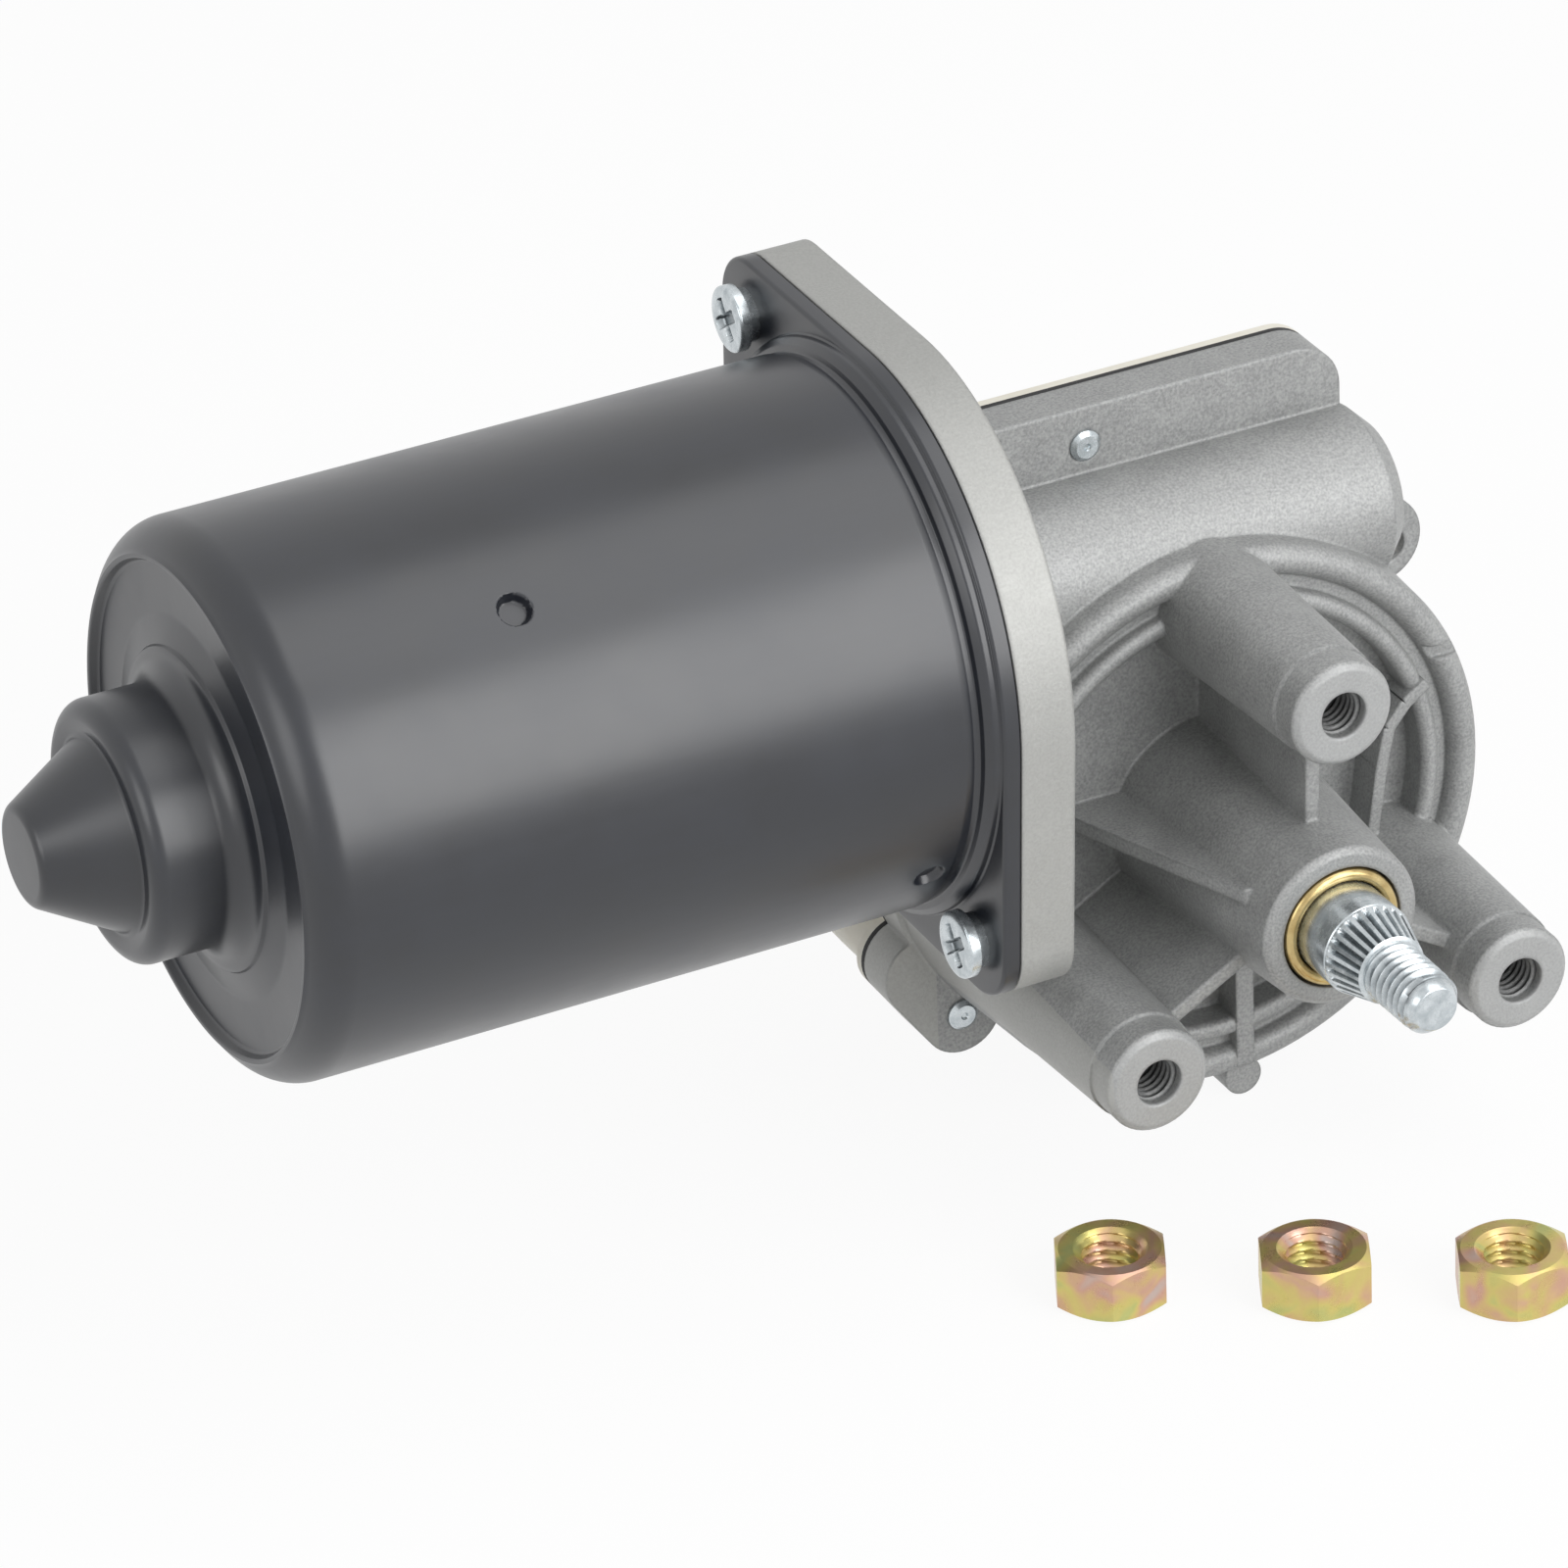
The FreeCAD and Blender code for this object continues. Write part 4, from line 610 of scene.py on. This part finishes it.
@dataclass
class MotorCan(Assembly):
    """Drawn steel can: closed end with a bearing cup and conical nose, and the lugged flange."""

    joint_x: float = -38.2
    flange: float = 2.4
    radius: float = 34.0
    inner: float = 31.8
    round_radius: float = 36.1
    lug: tuple[float, float] = (27.5, 29.4)
    lug_radius: float = 7.0
    around: int = 300
    plate_around: int = 480
    plate_overlap: float = 1.2
    plate_soft: float = 0.55
    plate_step: float = 0.35
    dent_reach: float = 2.6
    dent_soft: float = 0.55
    dimple: tuple[float, float, float, float] = (-94.7, 127.6, 1.9, 1.25)
    tab: tuple[float, float, float, float] = (-47.1, -147.6, 1.7, 0.9)

    def dents(self, radius: Array, reach: Array, angle: Array) -> Array:
        """Round punched dimple and a smaller, shallower punched tab in the can wall.

        Each is given as distance along the axis, angle in degrees, radius and depth. Its depth is a smooth
        step of the distance from its middle, s(t) = t * t * (3 - 2 * t), t falling from 1 to 0 at the rim.

        Args:
            radius: plain radius.
            reach: distance along the can axis.
            angle: angle about it.

        Returns:
            Change of radius in mm.
        """
        change = np.zeros_like(radius)
        for x, degrees, size, depth in (self.dimple, self.tab):
            off = np.angle(np.exp(1j * (angle - math.radians(degrees)))) * self.radius
            away = np.hypot(reach - x, off)
            t = np.clip((size - away) / self.dent_soft + 0.5, 0, 1)
            change -= depth * t * t * (3 - 2 * t)
        return change * (radius > self.radius - 0.01)

    def angles(self) -> Array:
        """Angles round the can: even steps, with fine ones across the dimple and the tab.

        Returns:
            Rising angles in radians.
        """
        even = np.linspace(-math.pi, math.pi, self.around, endpoint=False)
        span = self.dent_reach / self.radius
        for _, degrees, _, _ in (self.dimple, self.tab):
            middle = math.radians(degrees)
            even = np.append(even[np.abs(even - middle) > span], middle + np.linspace(-span, span, 32))
        return np.sort(even)

    def shell(self) -> Piece:
        """Closed end, wall and inside of the can as one turned skin.

        The cup's bead, the fillet at its root and the can's shoulder are arcs; the rest runs straight
        between rounded corners, each given as (radius, distance, rounding).

        Returns:
            The shell piece.
        """
        nose = softened([(0, -149.1, 0), (6.0, -149.1, 1.5), (11.9, -138.75, 0.7), (13.1, -139.25, 0.3)], 8)[:-1]
        bead = bow((13.7, -137.0), 2.2, -88, 0, 14)
        root = np.vstack([[(15.9, -133.5)], bow((18.9, -130.6), 3.0, 180, 92, 12)])
        face = softened([(19.1, -127.55, 0), (19.45, -127.45, 0.2), (19.7, -127.0, 0.2), (23.2, -126.2, 3.0),
                         (29.5, -126.3, 0.5), (29.95, -127.4, 0.3), (30.5, -127.4, 0)], 6)
        shoulder = bow((28.5, -122.1), 5.5, -66, 0, 16)
        wall = np.column_stack([np.full(3, self.radius), (-116.0, -108.0, -99.0)])
        spots = [np.column_stack([np.full(30, self.radius), x + self.dent_reach * np.linspace(-1, 1, 30)])
                 for x, _, _, _ in (self.dimple, self.tab)]
        fold = softened([(34.0, -44.2, 0), (33.7, -43.2, 0.6), (33.8, -42.5, 0.3), (34.6, -42.3, 0.5),
                         (35.5, -41.5, 0.6), (35.5, -40.75, 0.1), (35.75, -40.6, 0), (35.75, self.joint_x, 0)], 5)
        inside = softened([(self.inner, self.joint_x, 0), (self.inner, -121.6, 2.0), (29.0, -124.0, 1.0),
                           (13.8, -124.8, 0.5), (13.6, -131.5, 0.3), (9.4, -131.6, 0), (9.4, -138.8, 0.4),
                           (3.4, -146.8, 0), (0, -146.8, 0)], 2)
        profile = np.vstack([nose, bead, root, face, shoulder, wall, *spots, fold, inside])
        return sharpen(turned("can_shell", ARMATURE_AXIS, profile, self.angles(), self.dents), 40)

    def outline(self, angle: Array) -> Array:
        """Distance from the can axis to the flange's edge.

        The edge is the hull of the round plate and two lug circles. Along a ray at the angle it is the
        greatest of the plate's radius, the far crossing of each lug circle, and the tangent lines
        between them, each tangent being radius / cos(angle from its foot) within its span.

        Args:
            angle: angles about the can axis from +Y.

        Returns:
            Distances in mm.
        """
        big, small, reach = self.round_radius, self.lug_radius, math.hypot(*self.lug)
        heading = math.atan2(self.lug[1], self.lug[0])
        lean = math.acos((big - small) / reach)
        edge = np.full_like(angle, big)
        for turn in (0, math.pi):
            off = np.angle(np.exp(1j * (angle - heading - turn)))
            inside = np.clip(small ** 2 - (reach * np.sin(off)) ** 2, 0, None)
            circle = np.where(np.abs(reach * np.sin(off)) < small, reach * np.cos(off) + np.sqrt(inside), 0)
            tip = math.atan2(small * math.sin(lean), reach + small * math.cos(lean))
            tangent = big / np.cos(np.clip(lean - np.abs(off), 0, 1.2))
            edge = np.where(np.abs(off) < tip, np.maximum(circle, edge), edge)
            edge = np.where((np.abs(off) >= tip) & (np.abs(off) < lean), np.maximum(tangent, edge), edge)
        return edge

    def plate(self) -> Piece:
        """Flange sheet with a rolled edge, from the can wall out to the outline.

        Rows follow the section: across the rear face, round the edge, in by the step at the joint and
        back along the joint face. Each row is (distance from the axis, distance along it).

        Returns:
            The flange piece.
        """
        angle = ring(self.plate_around)
        edge = self.outline(angle)
        soft, rear, start = self.plate_soft, self.joint_x - self.flange, self.inner + self.plate_overlap
        rows = [(start + share * (edge - soft - start), rear) for share in (0.0, 0.35, 0.7)]
        rows += [(edge - soft + soft * math.sin(t), rear + soft * (1.0 - math.cos(t)))
                 for t in np.linspace(0, math.pi / 2, 7)]
        rows += [(edge, self.joint_x - 0.3), (edge - self.plate_step, self.joint_x - 0.25),
                 (edge - self.plate_step, self.joint_x), (np.full_like(edge, start), self.joint_x)]
        radius, reach = np.array([r for r, _ in rows]), np.array([[x] for _, x in rows])
        points = ARMATURE_AXIS.place(radius, reach, angle[None, :])
        return sharpen(surface("can_flange", points, wrap_u=True, wrap_v=True), 50)

    def build(self) -> None:
        """Make the can's pieces and dress them."""
        shell = joined("can_skin", [self.shell(), self.plate()])
        self.settle(shell, "base", "black_paint", "motor_can")


@dataclass
class OutputShaft(Assembly):
    """Journal, knurled taper and thread of the output shaft."""

    journal: float = 6.0
    thread_radius: float = 3.85
    pitch: float = 1.25
    thread_depth: float = 0.7
    lead_in: tuple[float, float] = (0.9, 1.1)
    run_out: tuple[float, float] = (0.3, 0.8)
    knurls: int = 28
    knurl_depth: float = 0.66
    knurl_top: float = 1.2
    knurl_slope: float = 4.2
    knurl_start: float = -6.4
    knurl_end: float = -11.6
    taper: tuple[float, float] = (4.45, 5.86)
    tip: float = -22.1
    back: float = 49.95
    ring_groove: tuple[float, float] = (47.75, 48.75)

    def thread(self, radius: Array, reach: Array, angle: Array) -> Array:
        """Depth of the thread's groove; the tip's face stays flat.

        lead_in and run_out give the plain length at each end and the length over which the groove fades.

        Args:
            radius: plain radius.
            reach: distance along the axis.
            angle: angle about it.

        Returns:
            Change of radius, zero or negative.
        """
        groove = 1 - thread_crest(reach, self.pitch, angle)
        (plain, fall), (gap, rise) = self.lead_in, self.run_out
        fade = np.clip((reach - self.tip - plain) / fall, 0, 1) * np.clip((self.knurl_end - gap - reach) / rise, 0, 1)
        return -self.thread_depth * groove * fade * (radius > 2.5)

    def knurl(self, radius: Array, reach: Array, angle: Array) -> Array:
        """Depth of straight V grooves, full between the taper's ends.

        The phase runs from 0 to 1 over each knurl; the depth is knurl_top less knurl_slope times the phase's
        distance from 0.5, cut off at 0 and 1.

        Args:
            radius: plain radius.
            reach: distance along the axis.
            angle: angle about it.

        Returns:
            Change of radius, zero or negative.
        """
        phase = (angle / (2 * math.pi) * self.knurls) % 1.0
        fade = np.clip((reach - self.knurl_end) / 0.3, 0, 1) * np.clip((self.knurl_start - reach) / 0.35, 0, 1)
        groove = np.clip(self.knurl_top - self.knurl_slope * np.abs(phase - 0.5), 0, 1)
        return -self.knurl_depth * groove * fade * (radius > 4.2)

    def build(self) -> None:
        """Make the shaft in three turned pieces and dress them."""
        size, start, end, tip = self.thread_radius, self.knurl_start, self.knurl_end, self.tip
        nose = softened([(0, tip, 0), (2.75, tip, 0.35), (size, tip + 1.5, 0.8), (size, tip + 2.4, 0)], 5)
        crest = np.column_stack([np.linspace(size, size + 0.1, 190), np.linspace(tip + 2.45, end + 0.1, 190)])
        neck = np.array([(size - 0.3, end + 0.15), (size - 0.3, end + 0.6), (0, end + 0.6)])
        screw = turned("shaft_thread", SHAFT_AXIS, np.vstack([nose, crest, neck]), 96, self.thread)
        slope = np.column_stack([np.linspace(*self.taper, 40), np.linspace(end, start, 40)])
        front = [(0, end - 0.3), (3.6, end - 0.3), (4.2, end - 0.15)]
        cone = np.vstack([front, slope, [(5.9, start + 0.2), (0, start + 0.3)]])
        taper = turned("shaft_knurl", SHAFT_AXIS, cone, self.knurls * 14, self.knurl)
        full, back, (near, far) = self.journal, self.back, self.ring_groove
        plain = softened([(0, start + 0.1, 0), (full - 0.2, start + 0.1, 0.1), (full, start + 0.4, 0.1),
                          (full, near, 0), (full - 0.8, near, 0), (full - 0.8, far, 0), (full, far, 0),
                          (full, back - 0.35, 0.3), (full - 0.4, back, 0), (0, back, 0)], 3)
        journal = sharpen(turned("shaft_journal", SHAFT_AXIS, plain, 96), 25)
        whole = joined("output_shaft_cut", [sharpen(screw, 60), sharpen(taper, 40), journal])
        self.settle(whole, "output", "zinc_plate", "output_shaft")


@dataclass
class FrontBush(Assembly):
    """Sintered bush at the hub's mouth, with a rolled lip."""

    inner: float = 6.08
    outer: float = 7.72
    lip: float = 0.5
    rim: float = 0.35
    length: float = 13.0

    def build(self) -> None:
        """Make the bush as one closed ring whose front is a half ellipse between the two walls."""
        turn = np.linspace(0, math.pi, 17)
        middle, half = (self.inner + self.outer) / 2, (self.outer - self.inner) / 2
        front = np.column_stack([middle - half * np.cos(turn), self.rim - (self.lip + self.rim) * np.sin(turn)])
        back = np.array([(self.outer, self.length), (self.inner, self.length)])
        bush = turned("bush_lip", SHAFT_AXIS, np.vstack([front, back]), 128, closed=True)
        self.settle(sharpen(bush, 50), "base", "bearing_bronze", "front_bush")


@dataclass
class SpringWashers(Assembly):
    """Split spring washers under the can's flange screws."""

    spots: Sequence[Spot]
    inner: float = 2.7
    outer: float = 3.4
    thick: float = 1.4
    gap_degrees: float = 9.0

    def build(self) -> None:
        """Sweep a rectangle round the axis through all but the gap.

        Rows run round the washer; columns go round the section (inner, outer, outer, inner), whose first
        and last rows shrink to the section's middle so that the ends are closed.
        """
        made = []
        turn = np.radians(np.linspace(0, 360 - self.gap_degrees, 72))
        radius = np.array([self.inner, self.outer, self.outer, self.inner])
        level = np.array([0.0, 0.0, self.thick, self.thick])
        for number, spot in enumerate(self.spots):
            axis = Axis(spot, (1, 0, 0), (0, 1, 0))
            rows = axis.place(radius[None, :], level[None, :], turn[:, None])
            ends = [np.repeat(rows[i].mean(0)[None, None, :], 4, 1) for i in (0, -1)]
            made.append(surface("washer_%d" % number, np.concatenate([ends[0], rows, ends[1]]), wrap_v=True))
            sharpen(made[-1], 40)
        self.settle(joined("can_screw_washers", made), "base", "zinc_plate", "flange_washers")


@dataclass
class PanScrews(Assembly):
    """Cross-recess pan-head screws at given heads, pointing along one direction.

    The shares are parts of the head's radius (slot, arm) and height (recess, edge, crown).
    """

    name: str
    node: str
    heads: Sequence[Spot]
    along: Spot
    across: Spot
    head_radius: float
    head: float
    shank_radius: float
    shank: float
    cross_turn: float = 0.6
    slot_share: float = 0.16
    slot_soft: float = 0.22
    arm_share: float = 0.66
    arm_soft: float = 0.5
    recess_share: float = 0.62
    edge_share: float = 0.28
    crown_share: float = 0.34
    crown_steps: int = 44
    # Strength of the painted shade in the cross recess
    shade_strength: float = 1.8

    def recess(self, radius: Array, angle: Array) -> Array:
        """Depth of the cross recess: two crossed slots, each sloping over slot_soft and arm_soft to its edges.

        Args:
            radius: distance from the screw's axis.
            angle: angle about it.

        Returns:
            Depth in mm, zero or positive.
        """
        x, y = radius * np.cos(angle + self.cross_turn), radius * np.sin(angle + self.cross_turn)
        half, arm = self.slot_share * self.head_radius, self.arm_share * self.head_radius
        depth = np.zeros_like(x)
        for u, v in ((x, y), (y, x)):
            wall = np.clip((half - np.abs(u)) / self.slot_soft + 0.5, 0, 1)
            end = np.clip((arm - np.abs(v)) / self.arm_soft, 0, 1)
            depth = np.maximum(depth, wall * end)
        return self.recess_share * self.head * depth

    def build(self) -> None:
        """Make every screw and dress the set.

        The crown falls by crown_share * t ** 4 of the head's height from its middle (t = 0) to its rim.
        """
        made = []
        for number, spot in enumerate(self.heads):
            axis = Axis(spot, self.along, self.across)
            t, thin, end = np.linspace(0, 1, self.crown_steps), self.shank_radius, self.shank
            crown = -self.head * (1 - self.crown_share * t ** 4)
            top = np.column_stack([self.head_radius * np.sin(t * math.pi / 2), crown])
            rest = np.array([(self.head_radius, -self.head * self.edge_share), (self.head_radius, 0), (thin, 0),
                             (thin, end - 0.45), (thin - 0.55, end), (0.5, end), (0.3, end - 0.3), (0, end - 0.35)])
            profile, angle = np.vstack([top, rest]), ring(96)[None, :]
            radius, height = profile[:, :1], profile[:, 1:]
            on_top = np.arange(len(profile))[:, None] < self.crown_steps
            sunk = np.where(on_top, self.recess(radius, angle), 0)
            # The recess's depth also sets its painted shade
            made.append(surface("screw_%d" % number, axis.place(radius, height + sunk, angle), wrap_v=True,
                                sunk=sunk / self.head * self.shade_strength))
            sharpen(made[-1], 35)
        self.settle(joined(self.name, made), "base", "zinc_plate", self.node)


@dataclass
class HexNuts(Assembly):
    """Loose M8 hex nuts with chamfered corners and a threaded bore, whose radii are under, mouth and top."""

    centres: Sequence[tuple[float, float]]
    floor: float = -39.4
    across_flats: float = 13.0
    height: float = 6.5
    bore: float = 3.4
    thread_radius: float = 4.0
    pitch: float = 1.25
    under: float = 4.4
    mouth: float = 4.5
    top: float = 4.55
    washer_share: float = 0.95
    chamfer_degrees: float = 30.0
    turn_degrees: float = 4.2

    def edge(self, angle: Array) -> Array:
        """Distance to the hexagon's side: half the width over the cosine of the angle from the side's middle.

        Args:
            angle: angles about the nut's axis.

        Returns:
            Distances in mm.
        """
        sixth = math.pi / 3
        off = (angle - math.radians(self.turn_degrees) + sixth / 2) % sixth - sixth / 2
        flat = np.abs(np.abs(off) - sixth / 2)
        return self.across_flats / 2 / np.cos(flat)

    def build(self) -> None:
        """Make each nut as one closed ring and dress the set.

        Rows follow the section: up the outside with a chamfer cone that cuts the corners, over the top
        to the bore, down the thread, whose mouths widen, and back underneath.
        """
        angle = ring(180)[None, :]
        side = self.edge(angle)
        washer = self.washer_share * self.across_flats / 2
        drop = np.clip((side - washer) * math.tan(math.radians(self.chamfer_degrees)), 0, None)
        rows = [(self.under, 0), (washer, 0)]
        rows += [(washer + t * (side - washer), t * drop) for t in (0.25, 0.5, 0.75, 1.0)]
        rows += [(washer + t * (side - washer), self.height - t * drop) for t in (1.0, 0.75, 0.5, 0.25)]
        rows += [(washer, self.height), (self.top, self.height)]
        for level in np.linspace(self.height - 0.1, 0.1, 66):
            depth = (self.thread_radius - self.bore) * thread_crest(level, self.pitch, -angle)
            mouth = self.mouth - (self.mouth - self.bore) * min(1.0, level, self.height - level)
            rows.append((np.maximum(self.thread_radius - depth, mouth), level))
        radius, reach = (np.vstack([np.broadcast_to(row[i], side.shape) for row in rows]) for i in (0, 1))
        made = []
        for number, (x, y) in enumerate(self.centres):
            axis = Axis((x, y, self.floor), (0, 0, 1), (1, 0, 0))
            made.append(surface("nut_%d" % number, axis.place(radius, reach, angle), wrap_u=True, wrap_v=True))
            sharpen(made[-1], 28)
        self.settle(joined("threaded_nuts", made), "base", "yellow_zinc", "hex_nuts")


@dataclass
class BossThreads(Assembly):
    """Tapped threads that line the three boss bores, at equal angles on the bosses' circle."""

    circle: float = 28.58
    degrees: tuple[float, ...] = (1, 121, 241)
    radius: float = 2.98
    core: float = 2.45
    skin: float = 0.02
    pitch: float = 1.0
    start: float = 1.25
    end: float = 17.0
    lead_in: float = 0.6
    # Strength of the painted shade in the bore
    shade_strength: float = 0.9

    def build(self) -> None:
        """Make each thread as a thin closed sleeve whose inside follows the helix, and dress the set.

        The roots carry painted shade, and the painted shade deepens towards the bore's far end.
        """
        angle = ring(72)[None, :]
        level = np.linspace(self.start, self.end, 170)[:, None]
        crest = thread_crest(level, self.pitch, angle)
        lead = np.clip((level - self.start) / self.lead_in, 0, 1)
        inside = self.radius - self.skin - (self.radius - self.core - self.skin) * crest * lead
        outside = np.full((2, angle.size), self.radius)
        ends = np.array([[self.end], [self.start]]) * np.ones((1, angle.size))
        radius, reach = np.vstack([inside, outside]), np.vstack([level * np.ones_like(angle), ends])
        # Painted shade: full in the thread's roots and rising towards the bore's far end
        deep = np.maximum(1 - crest, (level - self.start) / (self.end - self.start))
        sunk = np.vstack([self.shade_strength * deep, np.zeros_like(outside)])
        made = []
        for number, turn in enumerate(math.radians(a) for a in self.degrees):
            axis = Axis((self.circle * math.sin(turn), 0, self.circle * math.cos(turn)), (0, 1, 0), (0, 0, 1))
            made.append(surface("boss_thread_%d" % number, axis.place(radius, reach, angle), wrap_u=True,
                                wrap_v=True, sunk=sunk))
        self.settle(joined("boss_threads", made), "base", "cast_aluminium")


class Gearbox(Assembly):
    """Cast housing, cover and everything else that keeps its CAD shape."""

    def build(self) -> None:
        """Dress every CAD node with the finish of its slot."""
        slots = {row["node"]: row["material_slot"] for row in frame["record"]["subparts"]}
        for name, item in frame["nodes"].items():
            self.finishes.dress(item, slots[name])
            LOG.info("%s: CAD node in %s", name, slots[name])


@dataclass
class Studio:
    """White floor and surroundings, soft lamps and the camera; each lamp has a name, place, size and power."""

    floor_z: float = -39.42
    floor_half: float = 6000.0
    floor_glow: float = 0.92
    fill: float = 0.42
    lens: float = 225.0
    sensor: float = 36.0
    clip: tuple[float, float] = (0.05, 30.0)
    place: Spot = (-494.487, -872.817, 589.258)
    right: Spot = (0.89063553, -0.45326832, -0.03627922)
    down: Spot = (-0.2516989, -0.4249732, -0.86950874)
    ahead: Spot = (0.37870307, 0.78354681, -0.49258337)
    lamps: tuple[tuple[str, Spot, float, float], ...] = (
        ("front_box", (338, -830, 473), 900, 8.3), ("top_box", (330, -130, 930), 700, 2.1),
        ("left_box", (-900, -260, 420), 500, 1.4))
    lamps_aim: Spot = (-40.0, 20.0, 10.0)

    def floor(self) -> None:
        """Wide pale floor that keeps a soft shadow, just under the nuts' undersides."""
        material = bpy.data.materials.new("pale_floor")
        material.use_nodes = True
        tree = material.node_tree
        tree.nodes.clear()
        paper = add_node(tree, "ShaderNodeBsdfDiffuse", {"Color": linear("FAFAFA")})
        glow = add_node(tree, "ShaderNodeEmission", {"Color": linear("FFFFFF"), "Strength": 1.0})
        share = maths(tree, "MULTIPLY", seen_by(tree, "Is Camera Ray", "Is Glossy Ray"), self.floor_glow)
        both = add_node(tree, "ShaderNodeMixShader", {0: share, 1: paper.outputs[0], 2: glow.outputs[0]})
        add_node(tree, "ShaderNodeOutputMaterial", {"Surface": both.outputs[0]})
        spread = np.linspace(-self.floor_half, self.floor_half, 3)
        u, v = np.meshgrid(spread, spread, indexing="ij")
        floor = surface("floor", np.stack([u, v, np.full_like(u, self.floor_z)], -1))
        floor.data.materials.append(material)

    def surroundings(self) -> None:
        """Even pale world, pure white where it is seen directly, in a reflection or through glass."""
        world = bpy.data.worlds.new("studio")
        bpy.context.scene.world = world
        world.use_nodes = True
        tree = world.node_tree
        tree.nodes.clear()
        soft = add_node(tree, "ShaderNodeBackground", {"Color": linear("FFFFFF"), "Strength": self.fill})
        white = add_node(tree, "ShaderNodeBackground", {"Color": linear("FFFFFF"), "Strength": 1.0})
        seen = seen_by(tree, "Is Camera Ray", "Is Transmission Ray", "Is Glossy Ray")
        both = add_node(tree, "ShaderNodeMixShader", {0: seen, 1: soft.outputs[0], 2: white.outputs[0]})
        add_node(tree, "ShaderNodeOutputWorld", {"Surface": both.outputs[0]})

    def lamp(self, name: str, spot: Spot, size: float, watts: float) -> None:
        """Square soft box, aimed at the middle of the object.

        Args:
            name: the lamp's name.
            spot: its place in mm.
            size: its side in mm.
            watts: its power.
        """
        data = bpy.data.lights.new(name, "AREA")
        data.shape = "SQUARE"
        data.size = size * MM
        data.energy = watts
        lamp = bpy.data.objects.new(name, data)
        lamp.location = Vector(spot) * MM
        aim = Vector(self.lamps_aim) * MM - lamp.location
        lamp.rotation_euler = aim.to_track_quat("-Z", "Y").to_euler()
        bpy.context.scene.collection.objects.link(lamp)

    def camera(self) -> None:
        """Camera at the photograph's angle."""
        data = bpy.data.cameras.new("photo_camera")
        data.lens = self.lens
        data.sensor_width = self.sensor
        data.clip_start, data.clip_end = self.clip
        camera = bpy.data.objects.new("photo_camera", data)
        right, down, ahead = (Vector(v) for v in (self.right, self.down, self.ahead))
        turn = Matrix((right, -down, -ahead)).transposed().to_4x4()
        camera.matrix_world = Matrix.Translation(Vector(self.place) * MM) @ turn
        bpy.context.scene.collection.objects.link(camera)
        bpy.context.scene.camera = camera

    def build(self) -> None:
        """Set the stage."""
        bpy.context.scene.view_settings.view_transform = "Standard"
        self.surroundings()
        self.floor()
        for row in self.lamps:
            self.lamp(*row)
        self.camera()


def main() -> None:
    """Build every class in order."""
    logging.basicConfig(level=logging.INFO, format="%(message)s")
    finishes = Finishes()
    Gearbox(finishes).build()
    MotorCan(finishes).build()
    OutputShaft(finishes).build()
    FrontBush(finishes).build()
    # Undersides of the flange screws' heads: on the spring washers, outside the can's two lugs
    lugs = [(-42.0, 71.0, 61.15), (-42.0, 16.0, 2.35)]
    SpringWashers(finishes, lugs).build()
    PanScrews(finishes, "can_flange_screws", "flange_screws", lugs, along=(1, 0, 0), across=(0, 1, 0),
              head_radius=4.15, head=1.6, shank_radius=2.5, shank=10.8).build()
    ears = [(-8.8, 53.5, 46.3), (-27.6, 53.5, -27.2), (27.2, 53.5, -27.0)]
    PanScrews(finishes, "cover_fixing_screws", "cover_screws", ears, along=(0, -1, 0), across=(0, 0, 1),
              head_radius=3.6, head=2.4, shank_radius=2.0, shank=8.5).build()
    HexNuts(finishes, [(-33.4, -2.3), (-12.4, -14.5), (7.8, -26.3)]).build()
    BossThreads(finishes).build()
    Studio().build()


if __name__ == "__main__":
    main()
